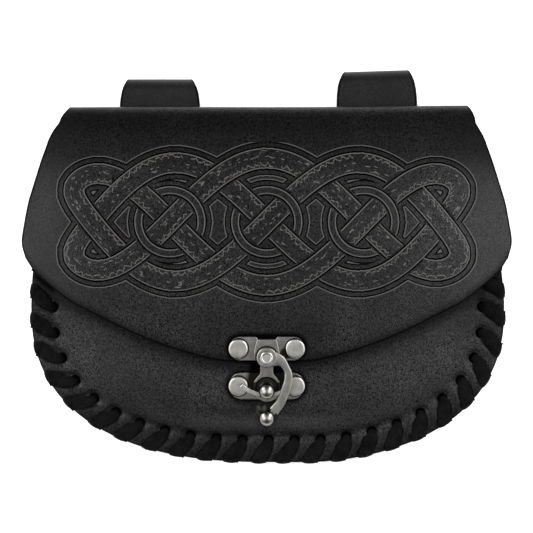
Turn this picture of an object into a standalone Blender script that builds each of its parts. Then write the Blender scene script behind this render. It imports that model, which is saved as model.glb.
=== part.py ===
"""A leather belt pouch with a laced rim, a broad flap, two belt loops and a swing clasp.

The pouch is modelled in its own frame, +X to its right, +Y to its top, +Z out of its front, with the
ridge of the fold at y = 0 and the outer face of the back at z = 0. It then lies on its back: the belt
loops and the lowest stitches rest on z = 0, and the origin is under the middle of the whole.
"""

import math

import bmesh
import bpy
import numpy as np
from mathutils import Matrix, Vector

# Leather, in metres like every length below.
WALL = 0.0022
GAP = 0.0003

# Outline of the back and of the front panel. A drop is a distance below the ridge.
BODY_HALF_WIDTH = 0.0906
WIDEST_DROP = 0.0780
BODY_ROUND = 0.0590
BODY_POWER = 2.38
NECK_HALF_WIDTH = 0.0804
MOUTH_DROP = 0.0220

# Front panel: a flat laced rim, then the belly.
RIM_WIDTH = 0.0106
BELLY = 0.0140
BELLY_POWER = 2.6
BELLY_FULLNESS = 0.75
BELLY_AT_FOLD = 0.70
BELLY_FULL_DROP = 0.0600

# Fold along the top, and the flap.
FOLD_REACH = 0.0140
FOLD_NOTCH = 0.0037
FOLD_NOTCH_HALF_ANGLE = math.radians(55)
FLAP_HALF_WIDTH = 0.0949
FLAP_DROP = 0.0993
FLAP_CLEARANCE = 0.0006
FLAP_EDGE_HEIGHT = 0.0086
FLAP_TOP_EDGE_HEIGHT = 0.0118
FLAP_CROSS_POWER = 2.2

# Side and lower edge of the flap: across is a share of FLAP_HALF_WIDTH, drop a share of FLAP_DROP.
FLAP_SIDE = (
    # across, drop
    (0.8946, 0.141),
    (0.922, 0.214),
    (0.948, 0.293),
    (0.973, 0.372),
    (0.989, 0.449),
    (1.000, 0.528),
    (0.985, 0.590),
)
FLAP_LOWER_EDGE = (
    # across, drop
    (0.985, 0.590),
    (0.936, 0.653),
    (0.809, 0.754),
    (0.711, 0.805),
    (0.581, 0.867),
    (0.450, 0.920),
    (0.319, 0.961),
    (0.188, 0.990),
    (0.000, 1.000),
)

# Lacing: a flat lace in slanted whip stitches round the rim, one hole of each pair in each panel.
STITCH_PITCH = 0.0101
LACE_END_CLEAR = 0.0012
HOLE_INSET = 0.0079
HOLE_RADIUS = 0.0019
LACE_WIDTH = 0.0046
LACE_THICK = 0.0012
LACE_HOLE_WIDTH = 0.0022
LACE_HOLE_THICK = 0.0018
# Lean of the front leg as a share of the pitch, from the right mouth corner (-1) to the left one (1).
LACE_LEAN = (
    # place, lean
    (-1.0, 0.80),
    (-0.4, 0.72),
    (0.0, 0.45),
    (1.0, 0.45),
)

# Belt loops: a strap folded at the top, both ends riveted behind the back. The slot takes the belt.
LOOP_SLOT = 0.0070
LOOP_WIDTH = 0.0316
LOOP_FOLD_WIDTH = 0.0256
LOOP_FLARE = 0.0070
LOOP_END_DROP = 0.0650
LOOP_RIVET_DROP = 0.0600
LOOP_TOP_RIVET_DROP = 0.0380
LOOP_LEAVES_FLOOR_DROP = 0.0440
LEFT_LOOP_CENTRE = -0.0416
LEFT_LOOP_RISE = 0.0108
RIGHT_LOOP_CENTRE = 0.0429
RIGHT_LOOP_RISE = 0.0140
RIGHT_LOOP_LEAN = math.radians(1.5)
LOOPS = (
    # side, centre across, rise above the ridge, lean seen from the front
    ("left", LEFT_LOOP_CENTRE, LEFT_LOOP_RISE, 0.0),
    ("right", RIGHT_LOOP_CENTRE, RIGHT_LOOP_RISE, RIGHT_LOOP_LEAN),
)

# Clasp, in the clasp's own plane: pivot at the origin, the panel's outer face at z = 0.
FLAP_BELOW_PIVOT = 0.0032
CLASP_DROP = FLAP_DROP - FLAP_BELOW_PIVOT
CLASP_LEAN = math.radians(8)
SEAT_HALF_WIDTH = 0.0170
SEAT_HALF_HEIGHT = 0.0135
SEAT_FADE = 0.0105
PLATE_THICK = 0.0011
PLATE_HALF_WIDTH = 0.0148
UPPER_PLATE_TOP = 0.0077
UPPER_PLATE_BOTTOM = -0.0015
LOWER_PLATE_TOP = -0.0067
LOWER_PLATE_BOTTOM = -0.0171
PLATE_NOTCH_HALF_WIDTH = 0.0036
PLATE_NOTCH_DEPTH = 0.0010
BLOCK_HALF_WIDTH = 0.0046
BLOCK_HEIGHT = 0.0010
# Right half of the raised block: x is a share of BLOCK_HALF_WIDTH, y a share of UPPER_PLATE_TOP.
PIVOT_BLOCK = (
    # x, y
    (0.00, 0.805),
    (0.70, 0.805),
    (1.00, 0.450),
    (0.70, 0.000),
    (0.45, -0.280),
    (0.00, -0.305),
)
TONGUE_HALF_WIDTH = 0.00245
FORK_HALF_WIDTH = 0.0050
FORK_INNER_RADIUS = 0.0047
FORK_TIP_Y = -0.0102
RIVET_SPREAD = 0.0110
RIVET_HEAD_RADIUS = 0.00375
RIVET_HEAD_HEIGHT = 0.0007
RIVET_SHANK_RADIUS = 0.0012
RIVET_TAIL_RADIUS = 0.0026
RIVET_TAIL_HEIGHT = 0.0006
LOOP_RIVET_HEAD_RADIUS = 0.0032
LOOP_RIVET_HEAD_HEIGHT = 0.0006
POST_Y = -0.0127
POST_NECK_RADIUS = 0.0009
BALL_RADIUS = 0.0029
BOSS_RADIUS = 0.0052
BOSS_WALL = 0.0011
BOSS_HEIGHT = 0.0010
PIVOT_SHANK_RADIUS = 0.0010
PIVOT_HEAD_RADIUS = 0.0025
PIVOT_HEAD_HEIGHT = 0.0009

# Swing hook: a flat cast arm, with the latch finger that passes under the ball and the grip ball at its end.
HOOK_HEAD_RADIUS = 0.0039
HOOK_REACH = 0.0237
HOOK_THICK = 0.0016
ARM_THICK = 0.0015
FINGER_THICK = 0.0011
FINGER_WIDTH = 0.0012
FINGER_SWEEP = math.radians(42)
FINGER_ROOT = math.radians(24)
GRIP_RADIUS = 0.0030
GRIP_NECK_WIDTH = 0.0020
# Middle line of the arm: x, y and width as shares of HOOK_REACH.
ARM = (
    # x, y, width
    (0.030, -0.010, 0.290),
    (0.205, -0.038, 0.190),
    (0.285, -0.115, 0.122),
    (0.335, -0.205, 0.112),
    (0.356, -0.270, 0.126),
    (0.350, -0.410, 0.140),
    (0.300, -0.550, 0.150),
    (0.235, -0.730, 0.145),
    (0.116, -0.886, 0.160),
)

# Smoothness of the meshes. The rings are shares of the way from the middle line to the laced rim.
FLAP_COLUMNS = 20
FLAP_ROWS = 12
FOLD_ROWS = 8
SIDE_CROWDING = 0.86
OUTLINE_STEPS = 44
BELLY_RINGS = (0.94, 0.82, 0.64, 0.40, 0.16)
LACE_HOLE_SIDES = 6
LOOP_FOLD_STEPS = 10
ROUND_SIDES = 16
RIVET_SIDES = 10
DISC_SIDES = 20
ARM_STEPS = 3
SHARP_ANGLE = math.radians(35)

LEATHER_BLACK = (0.020, 0.020, 0.021, 1.0)
LACE_BLACK = (0.008, 0.008, 0.008, 1.0)
GUNMETAL = (0.34, 0.33, 0.32, 1.0)


def clear_scene():
    for thing in list(bpy.data.objects):
        bpy.data.objects.remove(thing, do_unlink=True)


def material(name, colour, roughness, metallic):
    made = bpy.data.materials.new(name)
    made.use_nodes = True
    shader = made.node_tree.nodes["Principled BSDF"]
    shader.inputs["Base Color"].default_value = colour
    shader.inputs["Roughness"].default_value = roughness
    shader.inputs["Metallic"].default_value = metallic
    return made


def add_object(name, bm, finish, parent):
    """A named object from a bmesh with its faces turned outwards, hung on its parent."""
    bmesh.ops.recalc_face_normals(bm, faces=bm.faces[:])
    mesh = bpy.data.meshes.new(name)
    bm.to_mesh(mesh)
    bm.free()
    made = bpy.data.objects.new(name, mesh)
    bpy.context.scene.collection.objects.link(made)
    made.parent = parent
    if finish:
        mesh.materials.append(finish)
        mesh.shade_smooth()
        mesh.set_sharp_from_angle(angle=SHARP_ANGLE)
    return made


def add_empty(name, parent=None, location=(0, 0, 0), rotation=(0, 0, 0)):
    made = bpy.data.objects.new(name, None)
    bpy.context.scene.collection.objects.link(made)
    made.parent = parent
    made.location = location
    made.rotation_euler = rotation
    return made


def solidify(thing, thickness):
    wall = thing.modifiers.new("wall", "SOLIDIFY")
    wall.thickness = thickness
    wall.offset = 0
    wall.use_even_offset = True


def cut(thing, cutter):
    hole = thing.modifiers.new("cut " + cutter.name, "BOOLEAN")
    hole.operation = "DIFFERENCE"
    hole.solver = "EXACT"
    hole.object = cutter
    cutter.hide_render = True
    cutter.display_type = "WIRE"


def join(thing, other):
    """Fuses a second solid into a thing; the second one stays as a hidden helper."""
    union = thing.modifiers.new("join " + other.name, "BOOLEAN")
    union.operation = "UNION"
    union.solver = "EXACT"
    union.object = other
    other.hide_render = True
    other.display_type = "WIRE"


def fade(distance, start, width):
    """1 up to start, falling smoothly to 0 over width."""
    share = np.clip((np.abs(distance) - start) / width, 0, 1)
    return 1 - share * share * (3 - 2 * share)


def curve_through(points, steps):
    """Catmull-Rom curve through the points, with so many steps between neighbours."""
    known = np.array(points, float)
    padded = np.vstack([2 * known[0] - known[1], known, 2 * known[-1] - known[-2]])
    made = []
    for i in range(len(known) - 1):
        a, b, c, d = padded[i : i + 4]
        square = 2 * a - 5 * b + 4 * c - d
        cube = 3 * b - a - 3 * c + d
        for t in np.arange(steps) / steps:
            made.append(0.5 * (2 * b + (c - a) * t + square * t**2 + cube * t**3))
    made.append(known[-1])
    return np.array(made)


def spread_evenly(line, count):
    """The same line with count points at equal steps along its length."""
    steps = np.linalg.norm(np.diff(line, axis=0), axis=1)
    along = np.concatenate([[0], np.cumsum(steps)])
    places = np.linspace(0, along[-1], count)
    return np.stack([np.interp(places, along, line[:, axis]) for axis in range(line.shape[1])], axis=1)


# Outline of the body.


def side_half_width(drop):
    share = np.clip((drop - FOLD_REACH) / (WIDEST_DROP - FOLD_REACH), 0, 1)
    return NECK_HALF_WIDTH + (BODY_HALF_WIDTH - NECK_HALF_WIDTH) * np.sin(share * math.pi / 2)


def body_outline(top_drop, count):
    """Outline from the right side at top_drop, clockwise by the bottom, to the left side."""
    drops = np.linspace(top_drop, WIDEST_DROP, 200, endpoint=False)
    right = np.stack([side_half_width(drops), -drops], axis=1)
    angle = np.linspace(0, math.pi, 801)
    reach_x = np.sign(np.cos(angle)) * np.abs(np.cos(angle)) ** (2 / BODY_POWER)
    reach_y = np.abs(np.sin(angle)) ** (2 / BODY_POWER)
    bottom = np.stack([BODY_HALF_WIDTH * reach_x, -WIDEST_DROP - BODY_ROUND * reach_y], axis=1)
    left = right[::-1] * (-1, 1)
    return spread_evenly(np.vstack([right, bottom, left]), count)


def outward(line):
    """Unit normals of a clockwise outline, pointing away from the body."""
    tangent = np.gradient(line, axis=0)
    tangent /= np.linalg.norm(tangent, axis=1)[:, None]
    return np.stack([-tangent[:, 1], tangent[:, 0]], axis=1)


EDGE = body_outline(MOUTH_DROP, 1601)
EDGE_OUT = outward(EDGE)
HOLE_LINE = EDGE - HOLE_INSET * EDGE_OUT
HOLE_ALONG = np.concatenate([[0], np.cumsum(np.linalg.norm(np.diff(HOLE_LINE, axis=0), axis=1))])
HOLE_ALONG -= HOLE_ALONG[-1] / 2


def on_rim(along, inset):
    """Point of the rim plane at a way along the hole line and inset from the edge, and its outward normal."""
    x, y, out_x, out_y = (
        np.interp(along, HOLE_ALONG, column)
        for column in (EDGE[:, 0], EDGE[:, 1], EDGE_OUT[:, 0], EDGE_OUT[:, 1])
    )
    return np.array([x - inset * out_x, y - inset * out_y]), np.array([out_x, out_y])


def stitch_places():
    each_side = int((HOLE_ALONG[-1] - LACE_END_CLEAR) / STITCH_PITCH)
    return [i * STITCH_PITCH for i in range(-each_side, each_side + 1)]


# Heights of the leather's middle surfaces.

RIM_MIDDLE = WALL + GAP + WALL / 2
RIM_TOP = 2 * WALL + GAP


def belly_share(reach):
    """Share of the belly's height, from 1 in the middle to 0 at the laced rim."""
    return np.clip(1 - np.abs(reach) ** BELLY_POWER, 0, 1) ** BELLY_FULLNESS


def belly_rise(drop):
    """Height of the belly where it is fullest across: less at the fold, all of it from BELLY_FULL_DROP down."""
    share = np.clip((drop - FOLD_REACH) / (BELLY_FULL_DROP - FOLD_REACH), 0, 1)
    return BELLY * (1 - (1 - BELLY_AT_FOLD) * (1 - share) ** 2)


def middle_line_height(drop):
    """Height of the front panel's middle surface at x = 0."""
    reach = np.clip((drop - WIDEST_DROP) / (BODY_ROUND - RIM_WIDTH), 0, 1)
    return RIM_MIDDLE + belly_rise(drop) * belly_share(reach)


CLASP_SEAT_DROP = CLASP_DROP - POST_Y
CLASP_SEAT_HEIGHT = float(middle_line_height(CLASP_SEAT_DROP)) + WALL / 2


def seat_height(y):
    """Outer face of the front panel where the clasp holds it flat."""
    return CLASP_SEAT_HEIGHT + (y + CLASP_SEAT_DROP) * math.tan(CLASP_LEAN)


def seat_weight(x, y):
    middle = -CLASP_DROP + (UPPER_PLATE_TOP + LOWER_PLATE_BOTTOM) / 2
    return fade(x, SEAT_HALF_WIDTH, SEAT_FADE) * fade(y - middle, SEAT_HALF_HEIGHT, SEAT_FADE)


def panel_height(x, y, reach):
    held = seat_weight(x, y)
    belly = RIM_MIDDLE + belly_rise(-y) * belly_share(reach)
    return (1 - held) * belly + held * (seat_height(y) - WALL / 2)


def flap_height(x, y):
    """Middle surface of the flap: it arches over the belly and drops to its sides."""
    drop = -y
    crown = middle_line_height(drop) + WALL + FLAP_CLEARANCE
    share = np.clip((drop - FOLD_REACH) / (FLAP_DROP / 2 - FOLD_REACH), 0, 1)
    edge = FLAP_TOP_EDGE_HEIGHT + (FLAP_EDGE_HEIGHT - FLAP_TOP_EDGE_HEIGHT) * share
    arch = edge + (crown - edge) * (1 - np.abs(x / FLAP_HALF_WIDTH) ** FLAP_CROSS_POWER)
    held = seat_weight(x, y)
    return (1 - held) * arch + held * (seat_height(y) + FLAP_CLEARANCE + WALL / 2)


# The one piece of leather that makes the back, the fold and the flap.


def flap_boundaries():
    side = curve_through([(a * FLAP_HALF_WIDTH, -d * FLAP_DROP) for a, d in FLAP_SIDE], 8)
    side[0, 1] = -FOLD_REACH
    lower = curve_through([(a * FLAP_HALF_WIDTH, -d * FLAP_DROP) for a, d in FLAP_LOWER_EDGE], 8)
    lower = np.vstack([lower[:-1] * (-1, 1), lower[::-1]])
    return side, lower


def column_shares():
    """Shares across the flap from -1 to 1, closer together near the sides."""
    turn = math.pi / 2 * SIDE_CROWDING
    return np.sin(np.linspace(-turn, turn, FLAP_COLUMNS + 1)) / math.sin(turn)


def flap_grid():
    """Rows of points from the fold down to the lower edge, spread between the four boundaries."""
    side, lower = flap_boundaries()
    side = spread_evenly(side, FLAP_ROWS + 1)
    across = (column_shares() + 1) / 2
    steps = np.linalg.norm(np.diff(lower, axis=0), axis=1)
    along = np.concatenate([[0], np.cumsum(steps)])
    along /= along[-1]
    lower = np.stack([np.interp(across, along, lower[:, axis]) for axis in (0, 1)], axis=1)
    top = np.stack([(2 * across - 1) * side[0, 0], np.full(len(across), side[0, 1])], axis=1)
    rows = []
    for i, right in enumerate(side):
        t = i / FLAP_ROWS
        left = right * (-1, 1)
        u = across[:, None]
        corners = (1 - t) * ((1 - u) * top[0] + u * top[-1])
        corners += t * ((1 - u) * lower[0] + u * lower[-1])
        points = (1 - t) * top + t * lower + (1 - u) * left + u * right - corners
        rows.append(np.column_stack([points, flap_height(points[:, 0], points[:, 1])]))
    return rows


def fold_half_width(angle, front_width):
    """Half width of the leather round the fold, from 0 at the back to pi at the front."""
    turn = angle - math.pi / 2
    notch = 0.0
    if abs(turn) < FOLD_NOTCH_HALF_ANGLE:
        notch = FOLD_NOTCH * math.cos(turn / FOLD_NOTCH_HALF_ANGLE * math.pi / 2) ** 1.5
    flare = max(0.0, turn - FOLD_NOTCH_HALF_ANGLE) / (math.pi / 2 - FOLD_NOTCH_HALF_ANGLE)
    return NECK_HALF_WIDTH - notch + (front_width - NECK_HALF_WIDTH) * flare


def fold_rows(front_row):
    """Half-ellipse rows that join the flat back to the flap's first row."""
    shares = column_shares()
    low = WALL / 2
    rows = []
    for i in range(FOLD_ROWS):
        angle = math.pi * i / FOLD_ROWS
        half_width = fold_half_width(angle, front_row[-1, 0])
        middle = (low + front_row[:, 2]) / 2
        y = np.full(len(shares), -FOLD_REACH + FOLD_REACH * math.sin(angle))
        y -= WALL / 2 * math.sin(angle)
        z = middle - (front_row[:, 2] - low) / 2 * math.cos(angle)
        rows.append(np.column_stack([shares * half_width, y, z]))
    return rows


def make_back_flap(finish, parent):
    flap = flap_grid()
    rows = fold_rows(flap[0]) + flap
    bm = bmesh.new()
    grid = [[bm.verts.new(point) for point in row] for row in rows]
    for upper, lower in zip(grid, grid[1:]):
        for j in range(len(upper) - 1):
            bm.faces.new((upper[j], upper[j + 1], lower[j + 1], lower[j]))
    outline = body_outline(FOLD_REACH, OUTLINE_STEPS + 1)[1:-1]
    back = [bm.verts.new((x, y, WALL / 2)) for x, y in outline]
    bm.faces.new(grid[0] + back)
    made = add_object("back_flap", bm, finish, parent)
    solidify(made, WALL)
    return made


def make_front_panel(finish, parent):
    """Rings that follow the rim from the mouth's right corner to its left one, closing on the middle line."""
    line = spread_evenly(EDGE, OUTLINE_STEPS + 1)
    out = outward(line)
    inner = line - RIM_WIDTH * out
    inner[0, 1] = inner[-1, 1] = -MOUTH_DROP
    spine = np.stack([np.zeros(len(inner)), np.maximum(inner[:, 1], -WIDEST_DROP)], axis=1)
    bm = bmesh.new()
    rings = []
    for inset in (0, RIM_WIDTH / 2):
        points = line - inset * out
        points[0, 1] = points[-1, 1] = -MOUTH_DROP
        rings.append([bm.verts.new((x, y, RIM_MIDDLE)) for x, y in points])
    for reach in (1.0,) + BELLY_RINGS:
        points = spine + reach * (inner - spine)
        heights = panel_height(points[:, 0], points[:, 1], reach)
        rings.append([bm.verts.new((*point, z)) for point, z in zip(points, heights)])
    middle = {}
    closing = []
    for x, y in spine:
        key = round(y, 7)
        if key not in middle:
            middle[key] = bm.verts.new((x, y, float(panel_height(0.0, y, 0.0))))
        closing.append(middle[key])
    rings.append(closing)
    for outer, nearer in zip(rings, rings[1:]):
        for j in range(OUTLINE_STEPS):
            corners = (outer[j], outer[j + 1], nearer[j + 1], nearer[j])
            bm.faces.new(dict.fromkeys(corners))
    made = add_object("front_panel", bm, finish, parent)
    solidify(made, WALL)
    return made


def prisms(name, places, radius, low, high, sides, parent):
    """Helper with one upright prism at each place, used to cut round holes."""
    bm = bmesh.new()
    for x, y in places:
        shift = Matrix.Translation((x, y, (low + high) / 2))
        bmesh.ops.create_cone(
            bm, cap_ends=True, segments=sides, radius1=radius, radius2=radius, depth=high - low, matrix=shift
        )
    return add_object(name, bm, None, parent)


# Lacing.


def stitch_stations(lean):
    """One stitch, from its hole over the front and the edge to the back. The turn of the lace's face is 0
    for up, 90 for outward, 180 for down and 270 for inward."""
    front = RIM_TOP + GAP + LACE_THICK / 2
    behind = -GAP - LACE_THICK / 2
    bend = LACE_THICK / 2 + GAP
    near_hole = HOLE_INSET - 0.8 * HOLE_RADIUS
    mid_width = (LACE_WIDTH + 3 * LACE_HOLE_WIDTH) / 4
    mid_thick = (LACE_THICK + LACE_HOLE_THICK) / 2
    wrap = lean + 0.04
    mitre = LACE_THICK * math.sqrt(2)
    mouth = HOLE_INSET - 0.1 * HOLE_RADIUS
    return (
        # way along in pitches, inset, height, turn, width, thickness
        (0.0, HOLE_INSET, RIM_TOP / 2, 270, LACE_HOLE_WIDTH, LACE_HOLE_THICK),
        (0.0, mouth, RIM_TOP + 0.25 * HOLE_RADIUS, 310, LACE_HOLE_WIDTH, LACE_HOLE_THICK),
        (0.12 * lean, near_hole, front + 0.25 * LACE_THICK, 350, mid_width, mid_thick),
        (0.30 * lean, HOLE_INSET - 1.7 * HOLE_RADIUS, front, 0, LACE_WIDTH, LACE_THICK),
        (lean, bend, front, 0, LACE_WIDTH, LACE_THICK),
        (wrap, -bend, RIM_TOP + bend, 45, LACE_WIDTH, mitre),
        (wrap, -bend, -bend, 135, LACE_WIDTH, mitre),
        (wrap + 0.04, bend, behind, 180, LACE_WIDTH, LACE_THICK),
        (1 - 0.12 * (1 - lean), near_hole, behind - 0.25 * LACE_THICK, 190, mid_width, mid_thick),
        (1.0, mouth, -0.25 * HOLE_RADIUS, 230, LACE_HOLE_WIDTH, LACE_HOLE_THICK),
    )


def lace_sections():
    """Four corners of the lace at every station of every stitch."""
    places, leans = np.array(LACE_LEAN).T
    path, faces_up, sizes = [], [], []
    stops = stitch_places()
    for stop in stops:
        lean = float(np.interp(stop / stops[-1], places, leans))
        stations = stitch_stations(lean)
        if stop == stops[-1]:
            stations = stations[:-2]
        for way, inset, height, turn, width, thick in stations:
            (x, y), (out_x, out_y) = on_rim(stop + way * STITCH_PITCH, inset)
            side, up = math.sin(math.radians(turn)), math.cos(math.radians(turn))
            path.append(Vector((x, y, height)))
            faces_up.append(Vector((side * out_x, side * out_y, up)))
            sizes.append((width / 2, thick / 2))
    made = []
    for i, (point, up, (half_width, half_thick)) in enumerate(zip(path, faces_up, sizes)):
        ahead = (path[min(i + 1, len(path) - 1)] - path[max(i - 1, 0)]).normalized()
        across = up.cross(ahead).normalized() * half_width
        raised = up * half_thick
        corners = (across + raised, raised - across, -across - raised, across - raised)
        made.append([point + corner for corner in corners])
    return made


def make_lacing(sections, finish, parent):
    bm = bmesh.new()
    sections = [[bm.verts.new(corner) for corner in section] for section in sections]
    for one, two in zip(sections, sections[1:]):
        for j in range(4):
            bm.faces.new((one[j], one[(j + 1) % 4], two[(j + 1) % 4], two[j]))
    bm.faces.new(sections[0])
    bm.faces.new(sections[-1])
    return add_object("lacing", bm, finish, parent)


# Belt loops. The floor is a line in the pouch's own y and z, through the lowest stitch and under the loops.

LOOP_INNER = -GAP - WALL / 2
LOOP_STACKED = LOOP_INNER - WALL - GAP
LACE_SECTIONS = lace_sections()


def resting_place():
    """Tilt of the pouch as it lies, and where its lowest stitch meets the floor that carries the loops."""
    corners = np.array([corner[1:] for section in LACE_SECTIONS for corner in section])
    radius = (LOOP_SLOT + WALL) / 2
    outer = radius + WALL / 2
    centre = np.array([LEFT_LOOP_RISE - outer, LOOP_INNER - radius])
    tilt = 0.0
    for _ in range(5):
        lowest = corners[np.argmin(corners @ (math.sin(tilt), math.cos(tilt)))]
        away = centre - lowest
        tilt = math.asin(outer / np.linalg.norm(away)) - math.atan2(away[1], away[0])
    return tilt, lowest


TILT, LOW_POINT = resting_place()


def floor_line(y):
    return LOW_POINT[1] - (y - LOW_POINT[0]) * math.tan(TILT)


def loop_fold(rise):
    """Centre and radius of the fold's middle line, so that the loop's outer leg lies on the floor."""
    radius = (LOOP_SLOT + WALL) / 2
    for _ in range(20):
        centre_y = rise - radius - WALL / 2
        room = (LOOP_INNER - floor_line(centre_y)) * math.cos(TILT) - WALL / 2
        radius = room / (1 + math.cos(TILT))
    return centre_y, LOOP_INNER - radius, radius


def loop_path(rise):
    """Middle line of the strap in y and z, from the inner leg's end over the fold to the outer leg's end."""
    centre_y, centre_z, radius = loop_fold(rise)
    inner = [(y, LOOP_INNER) for y in np.linspace(-LOOP_END_DROP, centre_y, 7)[:-1]]
    turns = np.linspace(math.pi / 2, -math.pi / 2 - TILT, LOOP_FOLD_STEPS + 1)
    fold = [(centre_y + radius * math.cos(turn), centre_z + radius * math.sin(turn)) for turn in turns]
    lift = WALL / 2 / math.cos(TILT)
    lying = [(y, floor_line(y) + lift) for y in (-LOOP_LEAVES_FLOOR_DROP / 2, -LOOP_LEAVES_FLOOR_DROP)]
    start, end = lying[-1], (-LOOP_RIVET_DROP + LOOP_RIVET_HEAD_RADIUS, LOOP_STACKED)
    bend = []
    for share in (0.3, 0.5, 0.7, 1.0):
        ease = share * share * (3 - 2 * share)
        bend.append((start[0] + share * (end[0] - start[0]), start[1] + ease * (end[1] - start[1])))
    return np.array(inner + fold + lying + bend + [(-LOOP_END_DROP, LOOP_STACKED)])


def make_belt_loop(side, centre, rise, lean, finish, parent):
    path = loop_path(rise)
    ahead = np.gradient(path, axis=0)
    ahead /= np.linalg.norm(ahead, axis=1)[:, None]
    normal = np.stack([-ahead[:, 1], ahead[:, 0]], axis=1)
    below = np.maximum(rise - WALL / 2 - path[:, 0], 0)
    half_width = (LOOP_WIDTH - (LOOP_WIDTH - LOOP_FOLD_WIDTH) * np.exp(-2 * below / LOOP_FLARE)) / 2
    slant = math.tan(lean)
    bm = bmesh.new()
    sections = []
    for (y, z), (normal_y, normal_z), half in zip(path, normal, half_width):
        corners = []
        for across, lift in ((-half, 0.5), (half, 0.5), (half, -0.5), (-half, -0.5)):
            corner_y = y + lift * WALL * normal_y
            above = max(corner_y, 0.0)
            place = (
                centre + across - above * slant / 2,
                corner_y + above / rise * across * slant,
                z + lift * WALL * normal_z,
            )
            corners.append(bm.verts.new(place))
        sections.append(corners)
    for one, two in zip(sections, sections[1:]):
        for j in range(4):
            bm.faces.new((one[j], one[(j + 1) % 4], two[(j + 1) % 4], two[j]))
    bm.faces.new(sections[0])
    bm.faces.new(sections[-1])
    return add_object(f"belt_loop_{side}", bm, finish, parent)


# Turned pieces.


def turned(name, profile, sides, finish, parent, location=(0, 0, 0)):
    """A solid of revolution about z from a profile of radius and height, bottom to top, ends on the axis."""
    bm = bmesh.new()
    first, last = profile[0], profile[-1]
    rings = []
    for radius, height in profile[1:-1]:
        turns = [2 * math.pi * i / sides for i in range(sides)]
        rings.append([bm.verts.new((radius * math.cos(a), radius * math.sin(a), height)) for a in turns])
    for one, two in zip(rings, rings[1:]):
        for j in range(sides):
            bm.faces.new((one[j], one[(j + 1) % sides], two[(j + 1) % sides], two[j]))
    for ring, height in ((rings[0], first[1]), (rings[-1], last[1])):
        tip = bm.verts.new((0, 0, height))
        for j in range(sides):
            bm.faces.new((ring[j], ring[(j + 1) % sides], tip))
    made = add_object(name, bm, finish, parent)
    made.location = location
    return made


def rivet_profile(head_radius, head_height, shank_bottom, seat, tail_radius=0.0, tail_height=0.0):
    """Domed head above the seat, shank down to shank_bottom, and a flat tail where one is given."""
    profile = []
    if tail_radius:
        profile += [
            (0, shank_bottom - tail_height),
            (tail_radius, shank_bottom - tail_height),
            (tail_radius, shank_bottom),
        ]
    else:
        profile += [(0, shank_bottom)]
    profile += [
        (RIVET_SHANK_RADIUS, shank_bottom),
        (RIVET_SHANK_RADIUS, seat),
        (head_radius, seat),
        (head_radius, seat + 0.35 * head_height),
        (0.75 * head_radius, seat + 0.85 * head_height),
        (0, seat + head_height),
    ]
    return profile


# Clasp.


def arc(centre, radius, start, end, steps):
    """Points of an arc, with its angles in degrees."""
    turns = np.radians(np.linspace(start, end, steps + 1))
    return [(centre[0] + radius * math.cos(a), centre[1] + radius * math.sin(a)) for a in turns]


def extruded(name, outline, low, high, finish, parent):
    """A flat plate from an outline in x and y."""
    bm = bmesh.new()
    base = bm.faces.new([bm.verts.new((x, y, low)) for x, y in outline])
    raised = bmesh.ops.extrude_face_region(bm, geom=[base])
    top = [item for item in raised["geom"] if isinstance(item, bmesh.types.BMVert)]
    bmesh.ops.translate(bm, verts=top, vec=(0, 0, high - low))
    return add_object(name, bm, finish, parent)


def mirrored(right_half):
    """A closed outline from its right half, which runs from the top middle to the bottom middle."""
    left = [(-x, y) for x, y in reversed(right_half) if x > 0]
    return right_half + left


UPPER_SEAT = FLAP_CLEARANCE + WALL + GAP
LOWER_SEAT = GAP
UPPER_PLATE_FACE = UPPER_SEAT + PLATE_THICK
LOWER_PLATE_FACE = LOWER_SEAT + PLATE_THICK
HOOK_BOTTOM = UPPER_PLATE_FACE + BLOCK_HEIGHT + GAP
HOOK_FACE = HOOK_BOTTOM + HOOK_THICK


def upper_plate_outline():
    end_radius = (UPPER_PLATE_TOP - UPPER_PLATE_BOTTOM) / 2
    end_centre = (PLATE_HALF_WIDTH - end_radius, UPPER_PLATE_BOTTOM + end_radius)
    lobe = 0.88 * HOOK_HEAD_RADIUS
    shoulder = math.sqrt(lobe**2 - UPPER_PLATE_BOTTOM**2)
    lobe_start = math.degrees(math.atan2(UPPER_PLATE_BOTTOM, shoulder))
    lobe_end = -math.degrees(math.acos(TONGUE_HALF_WIDTH / lobe))
    fork_angle = math.degrees(math.asin((FORK_TIP_Y - POST_Y) / FORK_INNER_RADIUS))
    tip_inner = FORK_INNER_RADIUS * math.cos(math.radians(fork_angle))
    flare = (
        (TONGUE_HALF_WIDTH, 0.62 * FORK_TIP_Y),
        (0.5 * (TONGUE_HALF_WIDTH + FORK_HALF_WIDTH), 0.80 * FORK_TIP_Y),
        (FORK_HALF_WIDTH, FORK_TIP_Y),
    )
    notch = UPPER_PLATE_TOP - PLATE_NOTCH_DEPTH
    half = [(0, notch), (PLATE_NOTCH_HALF_WIDTH, notch)]
    half += [(PLATE_NOTCH_HALF_WIDTH + PLATE_NOTCH_DEPTH / 2, UPPER_PLATE_TOP)]
    half += arc(end_centre, end_radius, 90, -90, 8)
    half += arc((0, 0), lobe, lobe_start, lobe_end, 3)
    half += list(flare)
    if tip_inner < FORK_HALF_WIDTH:
        half += arc((0, POST_Y), FORK_INNER_RADIUS, fork_angle, 90, 5)
    else:
        half += [(0, FORK_TIP_Y)]
    return mirrored(half)


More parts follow.
